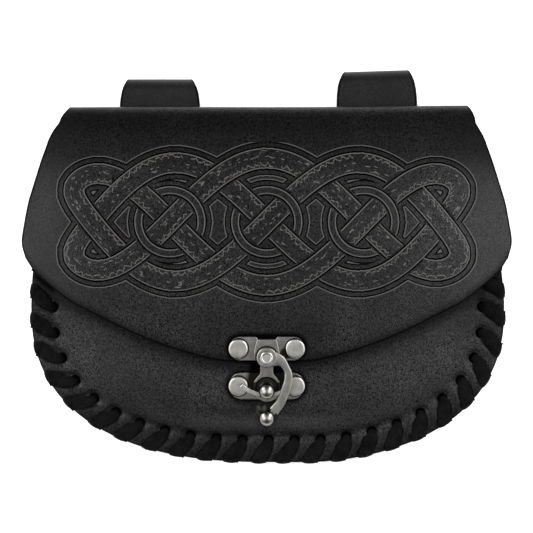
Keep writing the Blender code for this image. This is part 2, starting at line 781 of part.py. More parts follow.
def make_upper_plate(finish, parent):
    outline = upper_plate_outline()
    plate = extruded("clasp_upper_plate", outline, UPPER_SEAT, UPPER_PLATE_FACE, finish, parent)
    block = mirrored([(x * BLOCK_HALF_WIDTH, y * UPPER_PLATE_TOP) for x, y in PIVOT_BLOCK])
    sunk, top = UPPER_SEAT + PLATE_THICK / 2, UPPER_PLATE_FACE + BLOCK_HEIGHT
    join(plate, extruded("pivot_block", block, sunk, top, None, parent))
    bore = PIVOT_SHANK_RADIUS + GAP
    cut(plate, prisms("pivot_hole", [(0, 0)], bore, 0, 2 * HOOK_FACE, RIVET_SIDES, parent))
    return plate


def make_lower_plate(finish, parent):
    end_radius = (LOWER_PLATE_TOP - LOWER_PLATE_BOTTOM) / 2
    end_centre = (PLATE_HALF_WIDTH - end_radius, LOWER_PLATE_BOTTOM + end_radius)
    half = [(0, LOWER_PLATE_TOP)] + arc(end_centre, end_radius, 90, -90, 8) + [(0, LOWER_PLATE_BOTTOM)]
    plate = extruded("clasp_lower_plate", mirrored(half), LOWER_SEAT, LOWER_PLATE_FACE, finish, parent)
    boss = turned(
        "post_boss",
        [
            (0, LOWER_SEAT + PLATE_THICK / 3),
            (BOSS_RADIUS, LOWER_SEAT + PLATE_THICK / 3),
            (BOSS_RADIUS, LOWER_PLATE_FACE + 0.6 * BOSS_HEIGHT),
            (BOSS_RADIUS - 0.3 * BOSS_WALL, LOWER_PLATE_FACE + BOSS_HEIGHT),
            (BOSS_RADIUS - BOSS_WALL, LOWER_PLATE_FACE + BOSS_HEIGHT),
            (BOSS_RADIUS - 1.4 * BOSS_WALL, LOWER_PLATE_FACE),
            (0, LOWER_PLATE_FACE),
        ],
        ROUND_SIDES,
        None,
        parent,
        (0, POST_Y, 0),
    )
    join(plate, boss)
    return plate


def make_post(finish, parent):
    """Ball on a neck; the neck stands in the boss and the finger passes under the ball."""
    finger_top = HOOK_BOTTOM + FINGER_THICK
    centre = finger_top + GAP + math.sqrt(BALL_RADIUS**2 - (POST_NECK_RADIUS + GAP) ** 2)
    foot_radius = BOSS_RADIUS - 1.4 * BOSS_WALL - 2 * GAP
    foot = LOWER_PLATE_FACE + GAP
    start = -math.acos(POST_NECK_RADIUS / BALL_RADIUS)
    ball = []
    for turn in np.linspace(start, math.pi / 2, 9)[:-1]:
        ball.append((BALL_RADIUS * math.cos(turn), centre + BALL_RADIUS * math.sin(turn)))
    profile = [(0, foot), (foot_radius, foot), (0.8 * foot_radius, foot + 0.6 * BOSS_HEIGHT)]
    profile += [(POST_NECK_RADIUS, foot + BOSS_HEIGHT)] + ball + [(0, centre + BALL_RADIUS)]
    return turned("clasp_post", profile, ROUND_SIDES, finish, parent, (0, POST_Y, 0))


def make_swing_hook(finish, parent):
    disc = arc((0, 0), HOOK_HEAD_RADIUS, 0, 360, DISC_SIDES)[:-1]
    head = extruded("swing_hook", disc, HOOK_BOTTOM, HOOK_FACE, finish, parent)
    line = curve_through(np.array(ARM) * HOOK_REACH, ARM_STEPS)
    ahead = np.gradient(line[:, :2], axis=0)
    ahead /= np.linalg.norm(ahead, axis=1)[:, None]
    side = np.stack([-ahead[:, 1], ahead[:, 0]], axis=1) * line[:, 2:] / 2
    outline = np.vstack([line[:, :2] + side, (line[:, :2] - side)[::-1]])
    arm_low = HOOK_BOTTOM + (HOOK_THICK - ARM_THICK) / 2
    join(head, extruded("hook_arm", outline, arm_low, arm_low + ARM_THICK, None, parent))
    inner = -POST_Y + POST_NECK_RADIUS + GAP
    start, end = -90 + math.degrees(FINGER_ROOT), -90 - math.degrees(FINGER_SWEEP)
    finger = arc((0, 0), inner, start, end, DISC_SIDES // 2)
    finger += arc((0, 0), inner + FINGER_WIDTH, end, start, DISC_SIDES // 2)
    finger_low = HOOK_BOTTOM + GAP / 3
    join(head, extruded("hook_finger", finger, finger_low, finger_low + FINGER_THICK - GAP / 3, None, parent))
    arm_end, grip = line[-1, :2], np.array([0, -HOOK_REACH])
    neck_ahead = (grip - arm_end) / np.linalg.norm(grip - arm_end)
    neck_side = np.array([-neck_ahead[1], neck_ahead[0]]) * GRIP_NECK_WIDTH / 2
    neck_start = arm_end - neck_ahead * GRIP_NECK_WIDTH
    neck = (neck_start + neck_side, grip + neck_side, grip - neck_side, neck_start - neck_side)
    join(head, extruded("hook_neck", neck, HOOK_BOTTOM + GAP, HOOK_FACE - GAP, None, parent))
    turns = np.linspace(-math.pi / 2, math.pi / 2, 9)
    sphere = [(GRIP_RADIUS * math.cos(turn), GRIP_RADIUS * math.sin(turn)) for turn in turns]
    grip_place = (0, -HOOK_REACH, HOOK_BOTTOM + HOOK_THICK / 2)
    join(head, turned("hook_grip", sphere, ROUND_SIDES, None, parent, grip_place))
    bore = PIVOT_SHANK_RADIUS + GAP
    cut(head, prisms("hook_bore", [(0, 0)], bore, 0, 2 * HOOK_FACE, RIVET_SIDES, parent))
    return head


def make_clasp_rivets(finish, clasp, panel, flap):
    upper_y = (UPPER_PLATE_TOP + UPPER_PLATE_BOTTOM) / 2
    lower_y = (LOWER_PLATE_TOP + LOWER_PLATE_BOTTOM) / 2
    rows = (
        # row, y, face, shank end, tail radius, leather
        ("upper", upper_y, UPPER_PLATE_FACE, FLAP_CLEARANCE, 0.0, flap),
        ("lower", lower_y, LOWER_PLATE_FACE, -WALL - GAP, RIVET_TAIL_RADIUS, panel),
    )
    holes = []
    for row, y, face, shank_end, tail, leather in rows:
        places = [(-RIVET_SPREAD, y), (RIVET_SPREAD, y)]
        low, high = shank_end - WALL, 2 * HOOK_FACE
        hole_radius = RIVET_SHANK_RADIUS + GAP
        cutter = prisms(f"{row}_rivet_holes", places, hole_radius, low, high, RIVET_SIDES, clasp)
        cut(leather, cutter)
        holes.append(cutter)
        for side, place in zip(("left", "right"), places):
            profile = rivet_profile(
                RIVET_HEAD_RADIUS, RIVET_HEAD_HEIGHT, shank_end, face + GAP, tail, RIVET_TAIL_HEIGHT
            )
            turned(f"plate_rivet_{row}_{side}", profile, RIVET_SIDES, finish, clasp, (*place, 0))
    return holes


def make_pivot(finish, clasp):
    profile = [
        (0, UPPER_SEAT),
        (PIVOT_SHANK_RADIUS, UPPER_SEAT),
        (PIVOT_SHANK_RADIUS, HOOK_FACE + GAP),
        (PIVOT_HEAD_RADIUS, HOOK_FACE + GAP),
        (PIVOT_HEAD_RADIUS, HOOK_FACE + GAP + 0.4 * PIVOT_HEAD_HEIGHT),
        (0.7 * PIVOT_HEAD_RADIUS, HOOK_FACE + GAP + 0.9 * PIVOT_HEAD_HEIGHT),
        (0, HOOK_FACE + GAP + PIVOT_HEAD_HEIGHT),
    ]
    return turned("clasp_pivot", profile, RIVET_SIDES, finish, clasp)


def make_loop_rivets(side, centre, finish, parent):
    """One rivet through both ends of the strap, and one through the inner leg, each through the back."""
    made = []
    for place, drop, lowest in (
        ("lower", LOOP_RIVET_DROP, LOOP_STACKED - WALL / 2),
        ("upper", LOOP_TOP_RIVET_DROP, LOOP_INNER - WALL / 2),
    ):
        seat = lowest - GAP
        profile = [
            (0, seat - LOOP_RIVET_HEAD_HEIGHT),
            (0.75 * LOOP_RIVET_HEAD_RADIUS, seat - LOOP_RIVET_HEAD_HEIGHT),
            (LOOP_RIVET_HEAD_RADIUS, seat - 0.4 * LOOP_RIVET_HEAD_HEIGHT),
            (LOOP_RIVET_HEAD_RADIUS, seat),
            (RIVET_SHANK_RADIUS, seat),
            (RIVET_SHANK_RADIUS, WALL + GAP),
            (RIVET_TAIL_RADIUS, WALL + GAP),
            (RIVET_TAIL_RADIUS, WALL + GAP + RIVET_TAIL_HEIGHT),
            (0, WALL + GAP + RIVET_TAIL_HEIGHT),
        ]
        location = (centre, -drop, 0)
        made.append(turned(f"loop_rivet_{side}_{place}", profile, RIVET_SIDES, finish, parent, location))
    return made


def place_on_floor(root):
    """Moves the whole so that it stands on z = 0 with the origin under its middle."""
    bpy.context.view_layer.update()
    graph = bpy.context.evaluated_depsgraph_get()
    points = []
    for thing in bpy.data.objects:
        if thing.type != "MESH" or thing.hide_render:
            continue
        evaluated = thing.evaluated_get(graph)
        places = np.empty(len(evaluated.data.vertices) * 3, np.float32)
        evaluated.data.vertices.foreach_get("co", places)
        world = np.array(evaluated.matrix_world)
        points.append(places.reshape(-1, 3) @ world[:3, :3].T + world[:3, 3])
    points = np.vstack(points)
    low, high = points.min(axis=0), points.max(axis=0)
    root.location = Vector((-(low[0] + high[0]) / 2, -(low[1] + high[1]) / 2, -low[2]))


def main():
    clear_scene()
    leather = material("black leather", LEATHER_BLACK, 0.55, 0.0)
    suede = material("black suede lace", LACE_BLACK, 0.95, 0.0)
    metal = material("gunmetal", GUNMETAL, 0.32, 1.0)

    root = add_empty("pouch", rotation=(TILT, 0, 0))
    back_flap = make_back_flap(leather, root)
    front_panel = make_front_panel(leather, root)
    lace_places = [tuple(on_rim(stop, HOLE_INSET)[0]) for stop in stitch_places()]
    lace_holes = prisms("lace_holes", lace_places, HOLE_RADIUS, -WALL, 2 * RIM_TOP, LACE_HOLE_SIDES, root)
    cut(back_flap, lace_holes)
    cut(front_panel, lace_holes)
    make_lacing(LACE_SECTIONS, suede, root)

    hole_radius = RIVET_SHANK_RADIUS + GAP
    for side, centre, rise, lean in LOOPS:
        loop = make_belt_loop(side, centre, rise, lean, leather, root)
        for place, drop, lowest in (
            ("end", LOOP_RIVET_DROP, LOOP_STACKED),
            ("top", LOOP_TOP_RIVET_DROP, LOOP_INNER),
        ):
            centres = [(centre, -drop)]
            hole = prisms(
                f"loop_{place}_hole_{side}", centres, hole_radius, lowest - WALL, 2 * WALL, RIVET_SIDES, root
            )
            cut(back_flap, hole)
            cut(loop, hole)
        make_loop_rivets(side, centre, metal, root)

    pivot = (0, -CLASP_DROP, seat_height(-CLASP_DROP))
    clasp = add_empty("clasp", root, pivot, (CLASP_LEAN, 0, 0))
    upper_plate = make_upper_plate(metal, clasp)
    lower_plate = make_lower_plate(metal, clasp)
    upper_holes, lower_holes = make_clasp_rivets(metal, clasp, front_panel, back_flap)
    cut(upper_plate, upper_holes)
    cut(lower_plate, lower_holes)
    make_post(metal, clasp)
    make_pivot(metal, clasp)
    hook_axis = add_empty("hook_axis", clasp)
    make_swing_hook(metal, hook_axis)
    place_on_floor(root)


main()
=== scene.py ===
# Black leather belt pouch with a laced rim and a swing clasp, lying on its back.
import functools
import itertools
import math
import bpy
import numpy as np
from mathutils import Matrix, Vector


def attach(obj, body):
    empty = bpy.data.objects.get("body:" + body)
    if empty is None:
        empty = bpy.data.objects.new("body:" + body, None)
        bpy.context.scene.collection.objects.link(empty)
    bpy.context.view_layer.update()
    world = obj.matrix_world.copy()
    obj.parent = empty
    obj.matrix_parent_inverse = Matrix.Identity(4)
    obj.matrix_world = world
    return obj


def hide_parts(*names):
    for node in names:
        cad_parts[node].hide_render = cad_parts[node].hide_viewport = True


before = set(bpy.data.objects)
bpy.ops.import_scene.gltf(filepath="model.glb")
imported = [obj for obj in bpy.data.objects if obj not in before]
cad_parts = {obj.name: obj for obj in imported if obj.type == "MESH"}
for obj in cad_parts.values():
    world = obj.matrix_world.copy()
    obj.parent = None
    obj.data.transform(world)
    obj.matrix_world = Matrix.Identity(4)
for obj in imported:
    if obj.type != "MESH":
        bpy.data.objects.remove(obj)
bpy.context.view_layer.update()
print("frame loaded:", len(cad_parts), "solids")

# The pouch's own axes: x right, y up to the fold's ridge at 0, z out of the front, in metres.
pouch = {
    "tilt": 0.0702721805,  # it lies on its belt loops and its lowest stitch
    "place": (0.0, 0.0619811, 0.0113425),
    "wall": 0.0022,
    "gap": 0.0003,
    "bodyHalfWidth": 0.0906,
    "widestDrop": 0.0780,
    "bodyRound": 0.0590,
    "bodyPower": 2.38,
    "neckHalfWidth": 0.0804,
    "foldReach": 0.0140,
    "rimWidth": 0.0106,
    "belly": 0.0140,
    "bellyPower": 2.6,
    "bellyFullness": 0.75,
    "bellyAtFold": 0.70,
    "bellyFullDrop": 0.0600,
    "edgeRound": 0.0005,
    "fuller": 0.0008,
}
wall, gap = pouch["wall"], pouch["gap"]


def turnedAboutX(points, angle, origin):
    # x as it is, y cos - z sin, y sin + z cos, then moved to the origin.
    c, s = math.cos(angle), math.sin(angle)
    x, y, z = np.asarray(points, float).reshape(-1, 3).T
    return np.column_stack([x, y * c - z * s, y * s + z * c]) + origin


def toWorld(points):
    # From the pouch's own axes to where it lies.
    return turnedAboutX(points, pouch["tilt"], pouch["place"])


def rise(value, low, high):
    # Smooth step from 0 at low to 1 at high: 3 share^2 - 2 share^3.
    share = np.clip((value - low) / (high - low), 0, 1)
    return share * share * (3 - 2 * share)


def fade(distance, start, width):
    # 1 up to start, then a smooth fall to 0 over width.
    return 1 - rise(np.abs(distance), start, start + width)


def unit(vectors):
    # Vectors divided by their lengths.
    return vectors / np.maximum(np.linalg.norm(vectors, axis=-1, keepdims=True), 1e-12)


def curveThrough(points, steps):
    # Catmull-Rom curve: each span is a cubic of its four nearest points, so many steps to a span.
    known = np.array(points, float)
    padded = np.vstack([2 * known[0] - known[1], known, 2 * known[-1] - known[-2]])
    t = (np.arange(steps) / steps)[None, :, None]
    a, b, c, d = (padded[i : i + len(known) - 1][:, None, :] for i in range(4))
    made = 0.5 * (2 * b + (c - a) * t + (2 * a - 5 * b + 4 * c - d) * t**2 + (3 * b - a - 3 * c + d) * t**3)
    return np.vstack([made.reshape(-1, known.shape[1]), known[-1]])


def lengthAlong(line):
    # Way along a line to each of its points.
    steps = np.linalg.norm(np.diff(line, axis=0), axis=1)
    return np.concatenate([[0], np.cumsum(steps)])


def spreadEvenly(line, count):
    # The same line with its points at equal steps along its length.
    along = lengthAlong(line)
    places = np.linspace(0, along[-1], count)
    return np.stack([np.interp(places, along, line[:, k]) for k in range(line.shape[1])], axis=1)


def leftOf(ways):
    # Each way turned a quarter to the left.
    return np.stack([-ways[..., 1], ways[..., 0]], axis=-1)


def outward(line):
    # Unit normals to the left of a line, which are outward on a clockwise outline.
    return leftOf(unit(np.gradient(line, axis=0)))


def sideHalfWidth(drop):
    # From the neck's half width to the body's by a quarter sine.
    p = pouch
    share = np.clip((drop - p["foldReach"]) / (p["widestDrop"] - p["foldReach"]), 0, 1)
    return p["neckHalfWidth"] + (p["bodyHalfWidth"] - p["neckHalfWidth"]) * np.sin(share * math.pi / 2)


def bodyOutline(topDrop, count):
    # Right side as a quarter sine, bottom as a superellipse, left side mirrored; clockwise.
    p = pouch
    drops = np.linspace(topDrop, p["widestDrop"], 200, endpoint=False)
    right = np.stack([sideHalfWidth(drops), -drops], axis=1)
    angle = np.linspace(0, math.pi, 801)
    reachX = np.sign(np.cos(angle)) * np.abs(np.cos(angle)) ** (2 / p["bodyPower"])
    reachY = np.abs(np.sin(angle)) ** (2 / p["bodyPower"])
    bottom = np.stack([p["bodyHalfWidth"] * reachX, -p["widestDrop"] - p["bodyRound"] * reachY], axis=1)
    line = np.vstack([right, bottom, right[::-1] * (-1, 1)])
    # This pouch is a little fuller at the lower right.
    fuller = p["fuller"] * rise(line[:, 0], 0.0, 0.03)
    low = np.clip((-line[:, 1] - p["widestDrop"]) / p["bodyRound"], 0, 1)
    line[:, 0] += fuller * line[:, 0] / p["bodyHalfWidth"] * rise(-line[:, 1], 0.050, 0.080)
    line[:, 1] -= fuller * low
    return spreadEvenly(line, count)


rim = {
    "holeInset": 0.0079,
    "frontHole": 0.0017,
    "backHole": 0.0017,
    "pitch": 0.0101,
    "stitches": 16,
    # Place round the rim from the right end to the left, slant of the stitch there in pitches.
    "leans": ((-1, 0.55), (-0.75, 0.42), (-0.3, 0.40), (0, 0.38), (0.35, 0.45), (0.6, 0.58), (1, 0.50)),
    "leanChance": 0.035,
    "pressed": (0.0019, 0.0021),  # half width pressed flat by a stitch, and the slope beside it
    "swell": 0.00035,  # the leather stands up between stitches
    "sink": 0.00045,  # and is pressed down under them
    "frontBeyond": 0.0009,  # the front's cut edge stands out past the back's
}
edgeLine = bodyOutline(pouch["foldReach"], 1801)
edgeOut = outward(edgeLine)
holeAlong = lengthAlong(edgeLine - rim["holeInset"] * edgeOut)
holeAlong -= holeAlong[-1] / 2


def onRim(along, inset):
    # Point at a way along the hole line and inset from the edge, and the edge's normal there.
    x, y, outX, outY = (np.interp(along, holeAlong, column) for column in (*edgeLine.T, *edgeOut.T))
    return np.stack([x - inset * outX, y - inset * outY], axis=-1), np.stack([outX, outY], axis=-1)


def stitchLeans():
    # Slant of each stitch by its place round the rim, and a little chance.
    stops = np.arange(-rim["stitches"], rim["stitches"] + 1)
    chance = np.random.default_rng(7).normal(0, rim["leanChance"], len(stops))
    return stops, np.interp(stops / stops[-1], *np.array(rim["leans"]).T) + chance


def underStitch(x, y):
    # 1 under a stitch, falling to 0 beside it: by the distance to the line from its hole to the edge.
    stops, leans = stitchLeans()
    holes, _ = onRim(stops * rim["pitch"], rim["holeInset"])
    ends, _ = onRim((stops + leans) * rim["pitch"], -0.001)
    way = ends - holes
    apart = np.stack([x, y], axis=-1)[..., None, :] - holes
    share = np.clip((apart * way).sum(axis=-1) / (way**2).sum(axis=-1), 0, 1)
    distance = np.linalg.norm(apart - share[..., None] * way, axis=-1).min(axis=-1)
    return fade(distance, *rim["pressed"])


rimMiddle = wall + gap + wall / 2
rimTop = 2 * wall + gap


def bellyShare(reach):
    # Share of the belly's height at a reach from 0, its middle, to 1, its rim: (1 - reach^a)^b.
    return np.clip(1 - np.abs(reach) ** pouch["bellyPower"], 0, 1) ** pouch["bellyFullness"]


def bellyRise(drop):
    # Belly's height down its middle: from its share at the fold to full, by a parabola.
    p = pouch
    share = np.clip((drop - p["foldReach"]) / (p["bellyFullDrop"] - p["foldReach"]), 0, 1)
    return p["belly"] * (1 - (1 - p["bellyAtFold"]) * (1 - share) ** 2)


def middleLineHeight(drop):
    # Height of the panel's middle surface down its middle line.
    reach = np.clip((drop - pouch["widestDrop"]) / (pouch["bodyRound"] - pouch["rimWidth"]), 0, 1)
    return rimMiddle + bellyRise(drop) * bellyShare(reach)


clasp = {
    "drop": 0.0961,
    "lean": math.radians(8),
    "flapClearance": 0.0006,
    "plateThick": 0.0011,
    "plateHalfWidth": 0.0148,
    "upperTop": 0.0077,
    "upperBottom": -0.0015,
    "lowerTop": -0.0067,
    "lowerBottom": -0.0171,
    "postY": -0.0127,
    "blockHeight": 0.0010,
    "hookThick": 0.0016,
    "headRadius": 0.0039,  # of the hook, round its pivot
    "seatFade": 0.022,  # how far from the clasp the leather is still drawn flat
    "seatFadeBelow": 0.0115,
}
seatDrop = clasp["drop"] - clasp["postY"]
seatFoot = float(middleLineHeight(seatDrop)) + wall / 2


def seatHeight(y):
    # Outer face of the front panel where the clasp holds it flat.
    return seatFoot + (y + seatDrop) * math.tan(clasp["lean"])


def seatWeight(x, y):
    # 1 under the clasp, falling smoothly by the distance from its outline, sooner below it.
    aside = np.maximum(np.abs(x) - clasp["plateHalfWidth"], 0) / clasp["seatFade"]
    above = np.maximum(y + clasp["drop"] - clasp["upperTop"], 0) / clasp["seatFade"]
    below = np.maximum(-y - clasp["drop"] + clasp["lowerBottom"], 0) / clasp["seatFadeBelow"]
    return fade(np.sqrt(aside**2 + above**2 + below**2), 0, 1)


def fromClasp(points):
    # Clasp axes (origin on the hook's pivot, z along it) to the pouch's own: lean about x, then move.
    return turnedAboutX(points, clasp["lean"], (0, -clasp["drop"], seatHeight(-clasp["drop"])))


def gridQuads(rows, columns, start=0, closed=False):
    # Four corners of each cell of a grid, as indices; closed joins the last column to the first.
    i, j = np.meshgrid(np.arange(rows - 1), np.arange(columns - (not closed)), indexing="ij")
    k = (j + 1) % columns
    above, below = i * columns, (i + 1) * columns
    return np.stack([above + j, below + j, below + k, above + k], axis=-1).reshape(-1, 4) + start


def tubeFaces(rings):
    # Cells between closed rings of points, and one face over each end.
    count, sides = rings.shape[:2]
    end = np.arange(sides)[None]
    return [gridQuads(count, sides, closed=True), end, (end + (count - 1) * sides)[:, ::-1]]


def newMesh(name, points, faces):
    # faces is a list of arrays, each of faces with as many corners as the array has columns.
    mesh = bpy.data.meshes.new(name)
    faces = [np.asarray(f, int) for f in faces if len(f)]
    corners = np.concatenate([f.ravel() for f in faces])
    counts = np.concatenate([np.full(len(f), f.shape[1]) for f in faces])
    mesh.vertices.add(len(points))
    mesh.vertices.foreach_set("co", np.asarray(points, np.float32).ravel())
    mesh.loops.add(len(corners))
    mesh.loops.foreach_set("vertex_index", corners.astype(np.int32))
    mesh.polygons.add(len(counts))
    mesh.polygons.foreach_set("loop_start", np.concatenate([[0], np.cumsum(counts)[:-1]]).astype(np.int32))
    mesh.update(calc_edges=True)
    mesh.validate()
    return mesh


def linkNew(name, data):
    # A new object with this mesh, lamp or camera, in the scene.
    thing = bpy.data.objects.new(name, data)
    bpy.context.scene.collection.objects.link(thing)
    return thing


def addPiece(name, points, faces, finishes, body, nodes, sharp=None, finishOf=None, values=None):
    # Puts a mesh of pouch-axes points into the scene as a piece that stands for CAD nodes.
    mesh = newMesh(name, toWorld(points), faces)
    for finish in finishes:
        mesh.materials.append(finish)
    if finishOf is not None:
        mesh.polygons.foreach_set("material_index", np.asarray(finishOf, np.int32))
    for key, value in (values or {}).items():
        kind, part = ("FLOAT", "value") if value.ndim == 1 else ("FLOAT_VECTOR", "vector")
        held = mesh.attributes.new(key, kind, "POINT")
        held.data.foreach_set(part, value.astype(np.float32).ravel())
    mesh.shade_smooth()
    if sharp:
        mesh.set_sharp_from_angle(angle=math.radians(sharp))
    piece = linkNew(name, mesh)
    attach(piece, body)
    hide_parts(*nodes)
    print(f"{name}: {len(mesh.vertices)} points, {sum(len(p.vertices) - 2 for p in mesh.polygons)} triangles")


def vertexNormals(points, faces):
    # Sum of the cross products of each face's diagonals, or of a triangle's sides, made unit.
    total = np.zeros_like(points)
    for f in faces:
        a, b, c, d = (points[f[:, k]] for k in (0, 1, 2, -1))
        across = np.cross(c - a, d - b) if f.shape[1] == 4 else np.cross(b - a, c - a)
        for corner in f.T:
            np.add.at(total, corner, across)
    return unit(total)


def boundaryEdges(faces, count):
    # Directed edges that no neighbouring face runs the other way.
    ends = np.vstack([np.stack([f, np.roll(f, -1, axis=1)], axis=-1).reshape(-1, 2) for f in faces])
    forth, back = ends[:, 0] * count + ends[:, 1], ends[:, 1] * count + ends[:, 0]
    return ends[~np.isin(forth, back)]


def leatherSheet(points, faces, innerFaces=None, relief=0.0, normals=None):
    # Both faces of a leather sheet half its wall off its middle surface, and round every edge and hole a
    # rounded cut edge: edge point + outwards * r sin(turn) + normal * (half wall - r + r cos(turn)).
    half, r = wall / 2, pouch["edgeRound"]
    if normals is None:
        normals = vertexNormals(points, faces)
    edges = boundaryEdges(faces, len(points))
    away = np.zeros_like(points)
    across = np.cross(points[edges[:, 1]] - points[edges[:, 0]], normals[edges[:, 0]])
    np.add.at(away, edges[:, 0], across)
    np.add.at(away, edges[:, 1], across)
    rimmed = np.unique(edges)
    away = unit(away[rimmed])
    up = normals[rimmed]
    relief = relief + np.zeros((len(points), 1))
    made = [points + normals * (half + relief), points - normals * half]
    # Each ring's points stand in the order of rimmed, so an edge's two ends are found by where.
    where = np.zeros(len(points), int)
    where[rimmed] = np.arange(len(rimmed))
    ways = [edges]
    turns = np.radians([30, 60, 90])
    for sign, turn in [(1, turn) for turn in turns] + [(-1, turn) for turn in turns[::-1]]:
        lift = sign * (half - r + r * math.cos(turn)) + (relief[rimmed] if sign > 0 else 0)
        ways.append(where[edges] + sum(map(len, made)))
        made.append(points[rimmed] + away * r * math.sin(turn) + up * lift)
    ways.append(edges + len(points))
    strips = np.vstack([np.hstack([one[:, ::-1], two]) for one, two in zip(ways, ways[1:])])
    both = [*faces, *(f[:, ::-1] + len(points) for f in innerFaces or faces)]
    finishOf = np.repeat([0, 1], [sum(map(len, both)), len(strips)])
    return np.vstack(made), [*both, strips], finishOf


def dropLoose(points, faces, values):
    # Leaves out points that no face uses, with their values.
    used = np.unique(np.concatenate([f.ravel() for f in faces]))
    place = np.full(len(points), -1)
    place[used] = np.arange(len(used))
    return points[used], [place[f] for f in faces], {key: value[used] for key, value in values.items()}


def mergeSame(points, quads):
    # Points at the same place become one, and a cell with two corners there becomes a triangle. Gives which
    # points stay, where each point went, the whole cells and the triangles.
    keys = np.round(points * 1e7).astype(np.int64)
    _, first, place = np.unique(keys, axis=0, return_index=True, return_inverse=True)
    place = place.ravel()
    quads = place[quads]
    flat = quads == np.roll(quads, -1, axis=1)
    whole, isThin = quads[~flat.any(axis=1)], flat.sum(axis=1) == 1
    keep = (flat[isThin].argmax(axis=1)[:, None] + (1, 2, 3)) % 4
    return first, place, whole, np.take_along_axis(quads[isThin], keep, axis=1)


def rimBand(cells, edge, hole):
    # Rings of points from the cut edge in past the holes, with each hole's square of cells eased into a
    # circle and left out. Gives the points, the cells and the rings' insets.
    step, holeCells, easeCells = rim["pitch"] / cells["toStitch"], cells["hole"], cells["ease"]
    insets = np.append(edge, rim["holeInset"] + step * np.arange(-cells["outside"], cells["inside"] + 1))
    reach = rim["stitches"] * cells["toStitch"] + easeCells
    along = np.arange(-reach, reach + 1) * step
    a = along - np.round(along / rim["pitch"]).clip(-rim["stitches"], rim["stitches"]) * rim["pitch"]
    b = insets - rim["holeInset"]
    a, b = np.meshgrid(a, b)
    home = np.meshgrid(along, insets)[0] - a
    q = np.maximum(np.abs(a), np.abs(b)) / step
    radius = hole + pouch["edgeRound"]
    share = np.clip((q - holeCells) / (easeCells - holeCells), 0, 1)
    ringRadius = radius + (easeCells * step - radius) * share
    ease = rise(q, holeCells, easeCells)
    grow = (1 - ease) / np.maximum(np.hypot(a, b), 1e-9) * ringRadius + ease
    plan, _ = onRim(home + a * grow, rim["holeInset"] + b * grow)
    quads = gridQuads(len(insets), len(along))
    cellQ = q.ravel()[quads]
    inHole = (cellQ.max(axis=1) <= holeCells + 1e-6) & (cellQ.min(axis=1) < holeCells - 0.5)
    return plan, quads[~inHole], insets


flap = {
    "halfWidth": 0.0949,
    "drop": 0.0993,
    "edgeHeight": 0.0086,
    "topEdgeHeight": 0.0118,
    "crossPower": 2.2,
    # Right side and right half of the lower edge, as shares of the half width and the drop.
    "side": (
        (0.8946, 0.141), (0.922, 0.214), (0.948, 0.293), (0.973, 0.372), (0.989, 0.449), (1.0, 0.528),
        (0.985, 0.590),
    ),
    "lowerEdge": (
        (0.985, 0.590), (0.936, 0.653), (0.809, 0.754), (0.711, 0.805), (0.581, 0.867), (0.450, 0.920),
        (0.319, 0.961), (0.188, 0.990), (0.0, 1.0),
    ),
    "notch": 0.0037,  # how far the fold is pinched in at each end
    "notchHalfAngle": math.radians(55),
    "flareRound": 0.36,  # how much sooner the fold flares than evenly
    "rightCorner": 0.0014,  # the fold's right end stands this much further out
    "columns": 312,
    "flapRows": 152,
    "foldRows": 16,
    "coarse": 6,
}


def flapHeight(x, y):
    # Crown over the belly less a power of x, held to the clasp's slanting seat near it.
    drop = -y
    crown = middleLineHeight(drop) + wall + clasp["flapClearance"]
    share = np.clip((drop - pouch["foldReach"]) / (flap["drop"] / 2 - pouch["foldReach"]), 0, 1)
    edge = flap["topEdgeHeight"] + (flap["edgeHeight"] - flap["topEdgeHeight"]) * share
    arch = edge + (crown - edge) * (1 - np.abs(x / flap["halfWidth"]) ** flap["crossPower"])
    held = seatWeight(x, y)
    return (1 - held) * arch + held * (seatHeight(y) + clasp["flapClearance"] + wall / 2)


def flapCurve(key):
    # The flap's right side or right half of its lower edge.
    return curveThrough(np.array(flap[key]) * (flap["halfWidth"], -flap["drop"]), 24)


def flapSheet():
    # Plan of the flap: a surface spread between its top row, two sides and lower edge, by
    # (1-t)top + t lower + (1-u)left + u right, less the same spread of the four corners.
    side, lower = flapCurve("side"), flapCurve("lowerEdge")
    side[0, 1] = -pouch["foldReach"]
    whole = np.vstack([side[:-1], lower])
    whole = whole - pouch["edgeRound"] * outward(whole)
    side, lower = whole[: len(side)], whole[len(side) - 1 :]
    side[0, 1] = -pouch["foldReach"]
    lower = np.vstack([lower[:-1] * (-1, 1), lower[::-1]])
    side = spreadEvenly(side, flap["flapRows"] + 1)
    u = np.linspace(0, 1, flap["columns"] + 1)
    t = np.linspace(0, 1, flap["flapRows"] + 1)[:, None, None]
    along = lengthAlong(lower)
    lower = np.stack([np.interp(u, along / along[-1], lower[:, k]) for k in (0, 1)], axis=1)
    top = np.stack([(2 * u - 1) * side[0, 0], np.full(len(u), side[0, 1])], axis=1)
    right, left = side[:, None, :], (side * (-1, 1))[:, None, :]
    v = u[None, :, None]
    corners = (1 - t) * ((1 - v) * top[0] + v * top[-1]) + t * ((1 - v) * lower[0] + v * lower[-1])
    plan = (1 - t) * top + t * lower + (1 - v) * left + v * right - corners
    return np.dstack([plan, flapHeight(plan[..., 0], plan[..., 1])])


